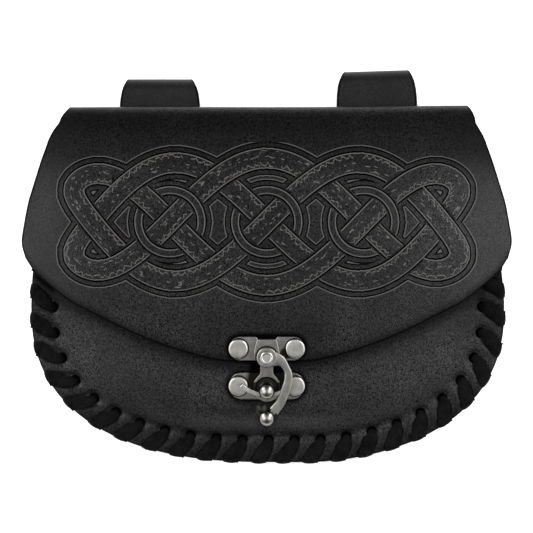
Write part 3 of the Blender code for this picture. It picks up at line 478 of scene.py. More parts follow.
def foldSheet(front):
    # Half-ellipse rows from the flat back up and over to the flap's first row, pinched in at the ridge.
    shares = np.linspace(-1, 1, flap["columns"] + 1)
    turn = (math.pi * np.arange(flap["foldRows"]) / flap["foldRows"])[:, None]
    off = turn - math.pi / 2
    pinch = np.clip(np.cos(np.clip(off / flap["notchHalfAngle"], -1, 1) * math.pi / 2), 0, 1) ** 1.5
    flare = np.clip((off - flap["notchHalfAngle"]) / (math.pi / 2 - flap["notchHalfAngle"]), 0, 1)
    flare = flare * (1 + flap["flareRound"] * (1 - flare))
    neck = pouch["neckHalfWidth"] - pouch["edgeRound"]
    half = neck - flap["notch"] * pinch * (np.abs(off) < flap["notchHalfAngle"])
    half = half + (front[-1, 0] - neck) * flare
    y = -pouch["foldReach"] + (pouch["foldReach"] - wall / 2) * np.sin(turn) + 0 * shares
    low, high = wall / 2, front[:, 2]
    z = (low + high) / 2 - (high - low) / 2 * np.cos(turn)
    return np.dstack([shares * half, y, z])


# Tooled knotwork: a five-lobed plait of one closed ribbon, and three rings laced through it.
tooling = {
    "middleDrop": 0.0447,
    "reach": 0.0745,
    "rise": 0.0245,
    "even": 0.62,  # 0 spaces the lobes like a sine, 1 evenly
    "taper": 0.30,
    "ringRadius": 0.0122,
    "widths": (0.0082, 0.0082, 0.0033),  # ribbon where it climbs, where it falls, ring
    "moat": 0.0022,
    "cut": 0.0010,
    "depth": 0.00040,
    "pillow": 0.00012,
    "behind": 0.0009,  # how far from a crossing it is looked which line is over
}
toolKeys = ("climbing", "falling", "rings")


def plaitLine(t):
    # s = sin 2t and its even-stepped copy set x; y = rise * sin 5t, less towards the ends.
    s = np.sin(2 * t)
    x = (1 - tooling["even"]) * s + tooling["even"] * np.arcsin(0.98 * s) / math.asin(0.98)
    y = tooling["rise"] * np.sin(5 * t) * (1 - tooling["taper"] * x**2)
    return np.stack([tooling["reach"] * x, y], axis=-1)


def knotLines():
    # The plait, then rings round the three inner places where it crosses its own middle.
    plait = spreadEvenly(plaitLine(0.013 + np.linspace(0, 2 * math.pi, 4001)), 1401)[:-1]
    turn = np.linspace(0, 2 * math.pi, 240, endpoint=False)
    ring = tooling["ringRadius"] * np.stack([np.cos(turn), np.sin(turn)], axis=1)
    beside = float(plaitLine(np.array([2 * math.pi / 5]))[0, 0])
    return [plait] + [ring + (middle, 0) for middle in (0, beside, -beside)]


def insideParity(points, lines):
    # How many of the closed lines a point is inside, odd or even, by counting crossings to its right.
    x, y = points[:, :1], points[:, 1:]
    odd = np.zeros(len(points), int)
    for line in lines:
        (ax, ay), (bx, by) = line.T, np.roll(line, -1, axis=0).T
        slope = (bx - ax) / np.where(np.abs(by - ay) < 1e-12, 1e-12, by - ay)
        odd += (((ay > y) != (by > y)) & (ax + (y - ay) * slope > x)).sum(axis=1)
    return odd % 2


def knotCrossings(lines):
    # Each place where two steps of the lines cross, by solving a + u r = b + v s, and whether the first
    # step is over there: it is where the ground just behind and left of it is inside an odd number of lines,
    # so that each line passes over and under in turn.
    a = np.vstack(lines)
    r = np.vstack([np.roll(line, -1, axis=0) - line for line in lines])
    one, two, between = r[:, None], r[None], a[None] - a[:, None]
    cross = one[..., 0] * two[..., 1] - one[..., 1] * two[..., 0]
    safe = np.where(np.abs(cross) < 1e-18, 1e-18, cross)
    u = (between[..., 0] * two[..., 1] - between[..., 1] * two[..., 0]) / safe
    v = (between[..., 0] * one[..., 1] - between[..., 1] * one[..., 0]) / safe
    first, second = np.nonzero((u >= 0) & (u < 1) & (v >= 0) & (v < 1) & (np.abs(cross) > 1e-14))
    places = a[first] + r[first] * u[first, second][:, None]
    ahead = unit(r[first])
    over = insideParity(places + tooling["behind"] * (leftOf(ahead) - ahead), lines) * 2 - 1
    return places, over, first, second


def nearestOn(points, line, along):
    # For each point the way along a line to its nearest place, the distance to it, and on which side it is.
    way, off, side = np.empty((3, len(points)))
    ahead = unit(np.gradient(line, axis=0))
    half = np.median(np.linalg.norm(np.diff(line, axis=0), axis=1)) / 2
    for i in range(0, len(points), 3000):  # so many at a time, to save memory
        now = slice(i, i + 3000)
        p = points[now]
        square = ((p**2).sum(axis=1)[:, None] - 2 * p @ line.T) + (line**2).sum(axis=1)[None]
        near = square.argmin(axis=1)
        d, t = p - line[near], ahead[near]
        forth = (d * t).sum(axis=1)
        way[now] = along[near] + np.clip(forth, -half, half)
        aside = t[:, 0] * d[:, 1] - t[:, 1] * d[:, 0]
        off[now] = np.hypot(aside, np.maximum(np.abs(forth) - half, 0))
        side[now] = np.sign(aside)
    return way, off, side


def knotFields(x, y):
    # Way and distance at each point for the ribbon where it climbs, where it falls and for the rings, and
    # which is over at the nearest crossing: 1 the first, -1 the second, 0 where the plait only turns.
    points = np.stack([x, y + tooling["middleDrop"]], axis=1)
    lines = knotLines()
    plait, rings = lines[0], np.vstack(lines[1:])
    step = np.roll(plait, -1, axis=0) - plait
    climbs = step[:, 0] * step[:, 1] > 0
    along = lengthAlong(plait)
    # Each part runs a few steps past its turns, so that the two meet without a seam.
    fields = []
    for part in (climbs, ~climbs):
        pick = part | np.roll(part, 3) | np.roll(part, -3)
        fields.append(nearestOn(points, plait[pick], along[pick]))
    # Each ring's way starts a metre past the last one's, so that their marks differ.
    ringWay = np.concatenate([lengthAlong(line) + number for number, line in enumerate(lines[1:])])
    fields.append(nearestOn(points, rings, ringWay))
    places, over, first, second = knotCrossings(lines)
    isPlait = np.arange(len(plait) + len(rings)) < len(plait)
    climbsAt = np.concatenate([climbs, np.zeros(len(rings), bool)])
    own = isPlait[first] & isPlait[second] & climbsAt[first] & ~climbsAt[second]
    ringed = ~isPlait[first] & isPlait[second]
    turns = plait[np.flatnonzero(climbs != np.roll(climbs, 1))]
    masks = []
    for known, signs in (
        (np.vstack([places[own], turns]), np.concatenate([over[own], np.zeros(len(turns))])),
        (places[ringed], over[ringed]),
    ):
        square = ((points[:, None] - known[None]) ** 2).sum(axis=2)
        masks.append(signs[square.argmin(axis=1)])
    return fields, (masks[0], masks[0], masks[1])


def chooseTop(first, second, over, cut):
    # The distance that shows: the upper ribbon's up to a cut round it, else the lower's, else the nearer.
    upper, lower = np.where(over > 0, first, second), np.where(over > 0, second, first)
    nearer = np.minimum(first, second)
    return np.where(over == 0, nearer, np.where(upper < cut, upper, np.where(lower < cut, lower, nearer)))


def knotRelief(fields, masks):
    # Ground pressed down in a moat round the ribbons, and the ribbons a little crowned; and which side of
    # the wide ribbon's middle each point is on, 0 off it.
    t = tooling
    edges = [off - width / 2 for (way, off, side), width in zip(fields, t["widths"])]
    ribbon = chooseTop(edges[0], edges[1], masks[0], t["cut"])
    shown = chooseTop(edges[2], ribbon, masks[2], t["cut"])
    side = np.where(shown != ribbon, 0, np.where(ribbon == edges[0], fields[0][2], fields[1][2]))
    moat = rise(shown, -0.00045, 0.00035) * (1 - rise(shown, t["moat"] - 0.0005, t["moat"] + 0.0003))
    crown = t["pillow"] * (1 - rise(shown, -0.0030, 0.0))
    return crown * (shown < 0) - t["depth"] * moat, side


def linear(colour):
    # sRGB hex to linear light.
    s = np.array([int(colour[i : i + 2], 16) for i in (1, 3, 5)]) / 255
    lin = np.where(s <= 0.04045, s / 12.92, ((s + 0.055) / 1.055) ** 2.4)
    return (*lin.tolist(), 1.0)


def addNode(tree, kind, inputs=(), **settings):
    # Adds a node. Its inputs, by name or in order, are numbers, hex colours, or nodes and outputs to link.
    node = tree.nodes.new("ShaderNode" + kind)
    for name, value in settings.items():
        setattr(node, name, value)
    for socket, value in inputs.items() if isinstance(inputs, dict) else enumerate(inputs):
        if isinstance(value, bpy.types.Node):
            value = next(out for out in value.outputs if out.enabled)
        if isinstance(value, bpy.types.NodeSocket):
            tree.links.new(value, node.inputs[socket])
        else:
            node.inputs[socket].default_value = linear(value) if isinstance(value, str) else value
    return node


def makeFinish(name, pattern, *values, **settings):
    # A material whose shader's inputs are what pattern gives; it gets addNode for the material's own tree.
    finish = bpy.data.materials.new(name)
    finish.use_nodes = True
    finish.node_tree.nodes.clear()
    add = functools.partial(addNode, finish.node_tree)
    shader = add("BsdfPrincipled", pattern(add, *values, **settings))
    add("OutputMaterial", {"Surface": shader})
    return finish


hide = {
    # Size, detail and roughness of the grain's pits (about 0.3 mm), the mottling and the clouds of wear.
    "layers": ((0.00028, 2.5, 0.65), (0.0007, 3.5, 0.6), (0.0180, 3.0, 0.55)),
    "stretch": (1, 0.65, 1),
    "raised": (0.56, 1.00),  # from the bottom of a pit to what stands up
    "grainHeight": 0.10,  # in millimetres
    "specular": 0.18,
    "roughness": (0.40, 0.54),
    "worn": (0.80, 1.20),
    "broken": (0.75, 1.15),  # how much of the sheen the grain breaks up
    "darkened": (0.42, 1.0),  # share of the colour at the lowest and at full painted light: painted shade darkens the dye
    # painted shade in the tooled cuts, and painted highlight on their burrs
    "cutShadeTone": "#010101",
    "burrHighlightTone": "#4a4947",
}


def hidePattern(add, dark, light, tooled=False, seed=0.0, grainy=1.0):
    # Full-grain cowhide, dyed through and waxed by hand: nearly black, with a fine broken grain whose pits
    # stay dull while what stands up is rubbed to a low sheen.
    coords = add("TexCoord").outputs["Object"]
    coords = add("Mapping", {"Vector": coords, "Location": (seed, seed, 0), "Scale": hide["stretch"]})
    grain, mottle, cloud = (
        add("TexNoise", {"Vector": coords, "Scale": 1 / size, "Detail": detail, "Roughness": rough})
        for size, detail, rough in hide["layers"]
    )
    broken = add("Math", (mottle, 0.55, grain), operation="MULTIPLY_ADD")
    raised = add("MapRange", (broken, *hide["raised"]), interpolation_type="SMOOTHSTEP")
    # The first attribute holds painted light and shade, and the edges' black dye; the second how smooth the
    # grain is.
    paintedLightAndDye, smooth = (add("Attribute", attribute_name=key).outputs["Fac"] for key in ("paintedLightAndDye", "smooth"))
    # Painted shade: where the painted light attribute is low, the colour is darkened.
    colour = add("Mix", {0: raised, 6: dark, 7: light}, data_type="RGBA")
    depth = add("MapRange", (paintedLightAndDye, 0.05, 0.35, *hide["darkened"]))
    colour = add("Mix", {0: 1.0, 6: colour, 7: depth}, data_type="RGBA", blend_type="MULTIPLY")
    # Sheen: (1 + breaking * (2 raised - 1)) * worn * painted light * specular, breaking less where it is
    # smooth.
    worn = add("MapRange", (cloud, 0.30, 0.70, *hide["worn"]))
    worn = add("Math", (worn, paintedLightAndDye), operation="MULTIPLY")
    breaking = add("MapRange", (cloud, 0.35, 0.62, *(grainy * share for share in hide["broken"])))
    breaking = add("Math", (breaking, smooth), operation="MULTIPLY")
    swing = add("Math", (raised, 2.0, -1.0), operation="MULTIPLY_ADD")
    sheen = add("Math", (swing, breaking, 1.0), operation="MULTIPLY_ADD")
    for share in (worn, hide["specular"]):
        sheen = add("Math", (sheen, share), operation="MULTIPLY")
    height = add("Math", (broken, hide["grainHeight"]), operation="MULTIPLY")
    if tooled:
        dent, cut, burr = toolMarks(add)
        height = add("Math", (height, dent), operation="ADD")
        # Painted light in the tooling: the cut's dark is painted shade in the groove and takes the sheen out
        # there, the burr's pale a painted highlight.
        for mark, tone in ((burr, hide["burrHighlightTone"]), (cut, hide["cutShadeTone"])):
            colour = add("Mix", {0: mark, 6: colour, 7: tone}, data_type="RGBA")
        dull = add("Math", (1.0, cut), operation="SUBTRACT")
        sheen = add("Math", (sheen, dull), operation="MULTIPLY")
    return {
        "Base Color": colour,
        "Roughness": add("MapRange", (mottle, 0.3, 0.7, *hide["roughness"])),
        "Specular IOR Level": sheen,
        "Normal": add("Bump", {"Height": height, "Distance": 0.001, "Strength": 1.0}),
    }


marking = {
    # Kind of line, its place out from the ribbon's edge, its half width and its strength, in millimetres.
    "lines": (("cut", 0.14, 0.40, 1.0), ("burr", -0.36, 0.34, 1.0)),
    "moatLines": (("cut", -0.12, 0.34, 0.9), ("burr", 0.34, 0.32, 0.8)),  # from the moat's outer edge
    "zigzagHalfWidth": 0.34,
    "tooth": 1.35,
    "strokesBelow": -1.1,  # strokes keep this far in from the ribbon's edge
    "cutDepth": -0.22,
    "burrHeight": 0.10,
}


def toolMarks(add):
    # Lines of the tooling from the ribbons' distances, held in the mesh: beside each ribbon's edge and the
    # moat's outer edge a dented cut whose dark colour is painted shade, with a raised burr whose pale colour is
    # a painted highlight, and in the ribbons a scratched zigzag and short strokes, pale like the burr.
    # Gives the dent in millimetres and how much of a cut and of a burr is at the place.
    edges, ways, overs = [], [], []
    for key, width in zip(toolKeys, tooling["widths"]):
        held = add("Attribute", attribute_name=key).outputs["Vector"]
        parts = add("SeparateXYZ", (held,))
        edges.append(add("Math", (parts.outputs[1], width / 2 * 1000), operation="SUBTRACT"))
        ways.append(parts.outputs[0])
        overs.append(parts.outputs[2])
    # The same choice as chooseTop, first between climbing and falling ribbon, then with the rings.
    edge, way = edges[1], ways[1]
    for number in (0, 2):
        first = edges[number]
        firstOver = add("Math", (overs[number], 0.0), operation="GREATER_THAN")
        crossing = add("Math", (overs[number],), operation="ABSOLUTE")
        upper = add("Mix", {0: firstOver, 2: edge, 3: first})
        lower = add("Mix", {0: firstOver, 2: first, 3: edge})
        chosen = add("Math", (upper, lower), operation="MINIMUM")
        for one in (lower, upper):
            near = add("Math", (one, tooling["cut"] * 1000), operation="LESS_THAN")
            near = add("Math", (near, crossing), operation="MULTIPLY")
            near = add("Math", (near, 0.5), operation="GREATER_THAN")
            chosen = add("Mix", {0: near, 2: chosen, 3: one})
        isFirst = add("Math", (chosen, first, 0.01), operation="COMPARE")
        way = add("Mix", {0: isFirst, 2: way, 3: ways[number]})
        edge = chosen
    # Teeth: way plus a chance shift, folded to and fro, times a chance height.
    place = add("CombineXYZ", (way,))
    chance = add("TexNoise", {"Vector": place, "Scale": 0.45, "Detail": 1.0})
    shift = add("Math", (chance, 5.0, way), operation="MULTIPLY_ADD")
    teeth = add("Math", (shift, marking["tooth"]), operation="PINGPONG")
    further = add("CombineXYZ", (add("Math", (way, 1.7, 30.0), operation="MULTIPLY_ADD"),))
    teeth = add("Math", (teeth, add("TexNoise", {"Vector": further, "Scale": 0.3})), operation="MULTIPLY")
    zigzag = add("Math", (teeth, -2.0, -0.95), operation="MULTIPLY_ADD")
    side = add("Attribute", attribute_name="ribbonSide").outputs["Fac"]
    onZigzag = add("Math", (side, 0.3), operation="GREATER_THAN")
    onStrokes = add("Math", (side, -0.3), operation="LESS_THAN")
    breaks = add("TexNoise", {"Vector": place, "Scale": 0.16, "Detail": 1.0})
    kept = add("Math", (breaks, 0.40), operation="GREATER_THAN")
    kept = add("Math", (kept, onZigzag), operation="MULTIPLY")
    moat = tooling["moat"] * 1000
    lines = marking["lines"] + tuple((kind, moat + at, *rest) for kind, at, *rest in marking["moatLines"])
    marks = {"cut": [], "burr": []}
    for kind, at, halfWidth, strength in (*lines, ("burr", zigzag, marking["zigzagHalfWidth"], kept)):
        off = add("Math", (edge, at), operation="SUBTRACT")
        off = add("Math", (off,), operation="ABSOLUTE")
        mark = add("MapRange", (off, 0.3 * halfWidth, halfWidth, 1.0, 0.0), interpolation_type="SMOOTHSTEP")
        marks[kind].append(add("Math", (mark, strength), operation="MULTIPLY"))
    # Short strokes across the wide ribbon's middle.
    across = add("CombineXYZ", (way, edge, 3.0))
    across = add("Mapping", {"Vector": across, "Scale": (0.5, 1.7, 1.0), "Rotation": (0, 0, 0.6)})
    stroke = add("TexNoise", {"Vector": across, "Scale": 0.9, "Detail": 1.0})
    stroke = add("MapRange", (stroke, 0.62, 0.66))
    within = add("Math", (edge, marking["strokesBelow"]), operation="LESS_THAN")
    within = add("Math", (within, onStrokes), operation="MULTIPLY")
    marks["burr"].append(add("Math", (stroke, within), operation="MULTIPLY"))
    cut, burr = (
        functools.reduce(lambda one, two: add("Math", (one, two), operation="MAXIMUM"), found)
        for found in marks.values()
    )
    dent = add("Math", (cut, marking["cutDepth"]), operation="MULTIPLY")
    dent = add("Math", (burr, marking["burrHeight"], dent), operation="MULTIPLY_ADD")
    return dent, cut, burr


def edgePattern(add):
    # Cut edge of the hide, dyed and burnished with wax: black, smoother than the face.
    coords = add("TexCoord").outputs["Object"]
    fibre = add("TexNoise", {"Vector": coords, "Scale": 1 / 0.0008, "Detail": 3.0})
    return {
        "Base Color": add("Mix", {0: fibre, 6: "#010101", 7: "#050505"}, data_type="RGBA"),
        "Roughness": 0.6,
        "Specular IOR Level": 0.03,
        "Normal": add("Bump", {"Height": fibre, "Distance": 0.00006}),
    }


def suedePattern(add):
    # Split-leather lace, black with a short nap: no gloss, a soft pale edge where the nap stands.
    coords = add("TexCoord").outputs["Object"]
    nap = add("TexNoise", {"Vector": coords, "Scale": 1 / 0.0007, "Detail": 4.0, "Roughness": 0.7})
    patch = add("TexNoise", {"Vector": coords, "Scale": 1 / 0.0030, "Detail": 2.0})
    share = add("Math", (nap, patch), operation="MULTIPLY")
    share = add("MapRange", (share, 0.12, 0.40))
    return {
        "Base Color": add("Mix", {0: share, 6: "#020202", 7: "#0f0f0f"}, data_type="RGBA"),
        "Roughness": 0.95,
        "Specular IOR Level": 0.08,
        "Normal": add("Bump", {"Height": nap, "Distance": 0.00022}),
    }


castMetal = {"grain": 0.0009, "bump": 0.00002, "blackest": 0.06}


def castMetalPattern(add, dark, light, roughness, paintedShade=(), edgeTint=1.0):
    # Cast zinc alloy with a gunmetal plating, tumbled: grey, satin, a little uneven.
    coords = add("TexCoord").outputs["Object"]
    size = castMetal["grain"]
    cloud = add("TexNoise", {"Vector": coords, "Scale": 1 / (3 * size), "Detail": 4.0, "Roughness": 0.6})
    fine = add("TexNoise", {"Vector": coords, "Scale": 1 / size, "Detail": 3.0})
    colour = add("Mix", {0: cloud, 6: dark, 7: light}, data_type="RGBA")
    # Painted shade is put round each place: clasp x, y, height, full to this radius, gone at this one.
    for *place, full, gone in paintedShade:
        place = tuple(toWorld(fromClasp([place]))[0])
        off = add("VectorMath", (coords, place), operation="DISTANCE")
        between = (full, gone, castMetal["blackest"], 1.0)
        share = add("MapRange", (off, *between), interpolation_type="SMOOTHSTEP")
        colour = add("Mix", {0: 1.0, 6: colour, 7: share}, data_type="RGBA", blend_type="MULTIPLY")
    return {
        "Base Color": colour,
        "Metallic": 1.0,
        "Roughness": add("MapRange", (cloud, 0.3, 0.7, *roughness)),
        "Specular Tint": (edgeTint, edgeTint, edgeTint, 1),
        "Normal": add("Bump", {"Height": fine, "Distance": castMetal["bump"]}),
    }


blackTones = {"dark": "#030303", "light": "#0e0d0d"}
blackHide = makeFinish("blackHide", hidePattern, **blackTones)
tooledHide = makeFinish("tooledBlackHide", hidePattern, **blackTones, tooled=True)
loopHide = makeFinish("beltLoopHide", hidePattern, dark="#030303", light="#0d0c0c", seed=0.3, grainy=0.3)
blackEdge = makeFinish("burnishedEdge", edgePattern)
blackLace = makeFinish("suedeLace", suedePattern)

# Darker and lighter tone, roughness, where painted shade is put, tint of the edge's sheen.
metals = {
    # Painted shadow round the rivets, the hook's head, beside the arm, and round the post under the fork.
    "upperPlateSatin": ("#656460", "#8f8e89", (0.30, 0.42), (
        (-0.0110, 0.0031, 0.0043, 0.00395, 0.0045),
        (0.0110, 0.0031, 0.0043, 0.00395, 0.0045),
        (0, 0, 0.0053, 0.0041, 0.0048),
        (0.0073, 0.0012, 0.0043, 0.0016, 0.0030),
    )),
    "lowerPlateSatin": ("#656460", "#8f8e89", (0.30, 0.42), (
        (-0.0110, -0.0119, 0.0014, 0.00395, 0.0045),
        (0.0110, -0.0119, 0.0014, 0.00395, 0.0045),
        (0, -0.0095, 0.0014, 0.0066, 0.0086),
    )),
    "bossSatin": ("#7b7a76", "#a3a29d", (0.28, 0.38), ((0, -0.0090, 0.0024, 0.0064, 0.0078),)),
    "gunmetalSatin": ("#70706c", "#9b9a95", (0.30, 0.42)),
    # Painted shade darkens the balls' lower halves and limbs.
    "gunmetalPolished": ("#6c6b67", "#9a9994", (0.24, 0.32), (
        (0, -0.0127, 0.0067, 0.0048, 0.0060),
        (0, -0.0237, 0.0031, 0.0050, 0.0062),
    ), 0.3),
    "rivetSatin": ("#999894", "#c1c0bb", (0.28, 0.40)),
    # Nearly black: painted shade for the boss's hollow and for the cap in shadow beside the grip ball.
    "paintedShadeMetal": ("#070707", "#3a3a37", (0.40, 0.60)),
}
upperMetal, lowerMetal, bossMetal, gunmetal, polished, rivetMetal, shadeMetal = (
    makeFinish(name, castMetalPattern, *values) for name, values in metals.items()
)
print("finishes made")


def flapEdgeDrop(x):
    # How far down the flap's lower edge is at a place across it.
    lower = flapCurve("lowerEdge")[::-1]
    return np.interp(np.abs(x), lower[:, 0], -lower[:, 1])


# Painted shadow round the clasp's parts: top, bottom and half width on the clasp, and the least share left.
claspShadows = (
    (clasp["upperTop"], clasp["upperBottom"], clasp["plateHalfWidth"], 0.0),
    (clasp["lowerTop"], clasp["lowerBottom"], clasp["plateHalfWidth"], 0.0),
    (-0.0212, -0.0266, 0.0028, 0.5),  # the grip ball
    (0, -0.012, 0.006, 0.0),  # the tongue
)


def claspShadowShare(x, y):
    # Painted shadow: the least share against each of them, 1 from 2 mm off.
    clear = np.ones(np.shape(x))
    for high, low, halfWidth, least in claspShadows:
        radius = (high - low) / 2
        along = np.maximum(np.abs(x) - (halfWidth - radius), 0)
        off = np.hypot(along, y + clasp["drop"] - (high + low) / 2) - radius
        clear = np.minimum(clear, least + (1 - least) * rise(off, 0.0, 0.0024))
    return clear


# Painted light and shade in the leather's sheen and colour, 1 being the flap's middle: strengths of each
# change, and by the drop.
paintedLightLevels = {
    "sides": 0.62,  # painted highlight where the flap's sides stand to the light,
    "sidesBelow": 0.35,  # with less of that further down
    # painted highlight to the right and painted shade to the left
    "right": 0.22,
    "left": 0.15,
    "smoothed": 0.6,  # how much of the grain's contrast is gone at the sides
    "flapEdge": 0.62,  # painted shade along the flap's lower edge
    # painted shade in a band under the fold, by the drop
    "fold": (
        (0.0, 1.3), (0.0010, 1.3), (0.0026, 0.46), (0.0040, 0.32), (0.0090, 0.32), (0.0125, 0.46),
        (0.0170, 0.54), (0.0200, 0.66), (0.0250, 0.92), (0.0290, 1.0),
    ),
    "covered": 0.34,  # painted shade left on the panel under the flap
    "belowFlap": 0.66,  # painted shadow just below the flap's edge,
    "rim": 0.70,  # painted shade towards the laced rim
    # painted shade in the panel's middle below the clasp
    "panelMiddle": 0.22,
    # painted light on the panel, by the drop
    "panel": (
        (0.070, 0.9), (0.082, 0.95), (0.092, 1.3), (0.104, 2.1), (0.116, 2.5), (0.126, 2.5), (0.134, 2.0),
    ),
}


def paintedLightFlap(x, y):
    # Painted light on the flap: 1 and the painted highlight of the sides, times the painted shade of the left,
    # the fold, the lower edge and round the clasp.
    drop = -y
    sides = paintedLightLevels["sides"] * (1 - paintedLightLevels["sidesBelow"] * rise(drop, 0.042, 0.060))
    gain = sides * rise(np.abs(x), 0.058, 0.088) + paintedLightLevels["right"] * rise(x, 0.010, 0.060)
    gain = gain * rise(drop, 0.006, 0.040)
    left = rise(x, -0.084, -0.070) * (1 - rise(x, 0.0, 0.030)) * (1 - rise(drop, 0.052, 0.062))
    edge = rise(drop - flapEdgeDrop(x), -0.0045, -0.0004) * (np.abs(x) < 0.0935)
    level = np.interp(drop, *np.array(paintedLightLevels["fold"]).T) * claspShadowShare(x, y)
    return level * (1 + gain) * (1 - paintedLightLevels["left"] * left) * (1 - paintedLightLevels["flapEdge"] * edge)


def paintedLightPanel(x, y, inset):
    # Painted light on the panel: painted shadow under and just below the flap, painted shade towards the rim,
    # in the middle and round the clasp, times the level at this drop.
    drop = -y
    under = drop - flapEdgeDrop(x)
    below = 1 - paintedLightLevels["belowFlap"] * fade(under, 0.0004, 0.0062) * (under > -0.003)
    outer = 1 - paintedLightLevels["rim"] * (1 - rise(inset, 0.0030, 0.0150)) * rise(drop, 0.085, 0.120)
    middle = fade(x, 0.018, 0.030) * rise(drop, 0.090, 0.100) * (1 - rise(drop, 0.112, 0.126))
    level = np.interp(drop, *np.array(paintedLightLevels["panel"]).T) * (1 - paintedLightLevels["panelMiddle"] * middle)
    return np.where(under < 0, paintedLightLevels["covered"], below) * outer * level * claspShadowShare(x, y)


def coarseCells(rows, columns, k):
    # One cell in place of k by k; a cell on the sheet's sides or end keeps every point that it has there.
    i, j = np.meshgrid(np.arange(0, rows - 1, k), np.arange(0, columns - 1, k), indexing="ij")
    i, j = i.reshape(-1, 1), j.reshape(-1, 1)
    every, ends = np.arange(k + 1), np.array([0, k])
    cells = []
    for isLeft, isRight, isEnd in itertools.product((False, True), repeat=3):
        pick = ((j == 0) == isLeft) & ((j + k == columns - 1) == isRight) & ((i + k == rows - 1) == isEnd)
        a, b = i[pick][:, None], j[pick][:, None]
        left, end, right = (every if isEdge else ends for isEdge in (isLeft, isEnd, isRight))
        cells.append(np.concatenate([
            (a + left) * columns + b,
            (a + k) * columns + b + end[1:],
            (a + right[-2::-1]) * columns + b + k,
        ], axis=1))
    return cells


# Cells of the back's band: to a stitch, from a hole's middle to its edge and to where the cells are square
# again, and rings outside and inside the holes.
back = {"toStitch": 14, "hole": 3, "ease": 6, "outside": 10, "inside": 7}


def makeBackFlap():
    # Flap and fold as one grid, the flat back as a band round the rim, and one face between them.
    front = flapSheet()
    grid = np.concatenate([foldSheet(front[0]), front])
    # The fold's right end stands a little further out and up.
    x, y = grid[..., 0], grid[..., 1]
    further = flap["rightCorner"] * rise(x, 0.030, 0.080) * fade(np.maximum(-y, 0), 0.001, 0.009)
    grid[..., 0] = x + further
    grid[..., 1] = y + 0.5 * further * rise(y, -0.012, 0)
    rows, columns = grid.shape[:2]
    sheet = gridQuads(rows, columns)
    plan, bandQuads, _ = rimBand(back, pouch["edgeRound"], rim["backHole"])
    band = np.dstack([plan, np.full(plan.shape[:2], wall / 2)])
    bandStart = rows * columns
    neckStart = bandStart + plan[..., 0].size
    drops = np.linspace(pouch["foldReach"], -band[0, 0, 1], 6)[1:-1]
    neck = np.stack([sideHalfWidth(drops) - pouch["edgeRound"], -drops, np.full(4, wall / 2)], axis=1)
    points = np.vstack([grid.reshape(-1, 3), band.reshape(-1, 3), neck, neck * (-1, 1, 1)])
    # The band's cells turn clockwise, as the back faces down.
    bandQuads = bandQuads[:, ::-1] + bandStart
    bandPoints = np.arange(bandStart, neckStart).reshape(plan.shape[:2])
    innerRing, leftEnd, rightEnd = bandPoints[-1], bandPoints[-2::-1, -1], bandPoints[:-1, 0]
    rightNeck, leftNeck = neckStart + np.arange(4), neckStart + 7 - np.arange(4)
    # The unseen inner side has one cell where the outer has 36.
    k = flap["coarse"]
    outerFace, innerFace = (
        np.concatenate([innerRing, leftEnd, leftNeck, np.arange(0, columns, n), rightNeck, rightEnd])[None]
        for n in (1, k)
    )
    normals = vertexNormals(points, [sheet, bandQuads])
    normals[bandStart:] = normals[:columns] = (0, 0, -1)
    onFlap = slice(flap["foldRows"] * columns, bandStart)
    fields, masks = knotFields(*points[onFlap, :2].T)
    relief = np.zeros((len(points), 1))
    relief[onFlap, 0], side = knotRelief(fields, masks)
    innerFaces = [*coarseCells(rows, columns, k), bandQuads, innerFace]
    made, faces, finishOf = leatherSheet(points, [sheet, bandQuads, outerFace], innerFaces, relief, normals)
    values = {"paintedLightAndDye": np.ones(len(made)), "smooth": np.ones(len(made)), "ribbonSide": np.zeros(len(made))}
    values["ribbonSide"][onFlap] = side
    for key, (way, off, _), mask in zip(toolKeys, fields, masks):
        values[key] = np.tile([0.0, 99.0, 99.0], (len(made), 1))
        values[key][onFlap] = np.column_stack([way * 1000, off * 1000, mask])
    inFront = slice(flap["foldRows"] // 2 * columns, bandStart)
    # Painted light and shade on the flap's face.
    values["paintedLightAndDye"][inFront] = paintedLightFlap(*points[inFront, :2].T)
    values["smooth"][: len(points)] = 1 - paintedLightLevels["smoothed"] * rise(np.abs(points[:, 0]), 0.066, 0.084)
    # The edge's black dye runs a little way onto the face.
    darkened = np.zeros((rows, columns), bool)
    darkened[:, [0, -1]] = darkened[-1] = True
    values["paintedLightAndDye"][np.flatnonzero(darkened)] = 0
    made, faces, values = dropLoose(made, faces, values)
    addPiece("backFlap", made, faces, [tooledHide, blackEdge], "pouch", ["back_flap"],
             finishOf=finishOf, values=values)


makeBackFlap()


panel = {
    "toStitch": 21,
    "hole": 4,
    "ease": 9,
    "outside": 15,
    "inside": 11,
    "innerRings": 46,
    "bend": 0.066,  # share of the reach over which the belly's bend from the rim is spread
    "stitchRise": (0.0060, 0.0134),  # insets between which the swelling beside the stitches ends
}


def reachAt(x, y):
    # Share of the way from the panel's spine to the inner line of its rim: along x above its widest
    # place, and out from the middle of that line below it.
    inner = edgeLine - pouch["rimWidth"] * edgeOut
    right = inner[: len(inner) // 2 + 1]
    upperHalf = np.interp(y, right[::-1, 1], right[::-1, 0])
    centre = np.array([0, -pouch["widestDrop"]])
    angle = np.arctan2(-(right[:, 1] - centre[1]), right[:, 0])
    lower = right[:, 1] <= centre[1] + 1e-4
    far = np.hypot(right[lower, 0], right[lower, 1] - centre[1])
    turned = np.arctan2(np.maximum(-(y - centre[1]), 0), np.abs(x))
    lowerFar = np.interp(turned, angle[lower], far)
    return np.where(y > centre[1], np.abs(x) / upperHalf, np.hypot(x, y - centre[1]) / lowerFar)


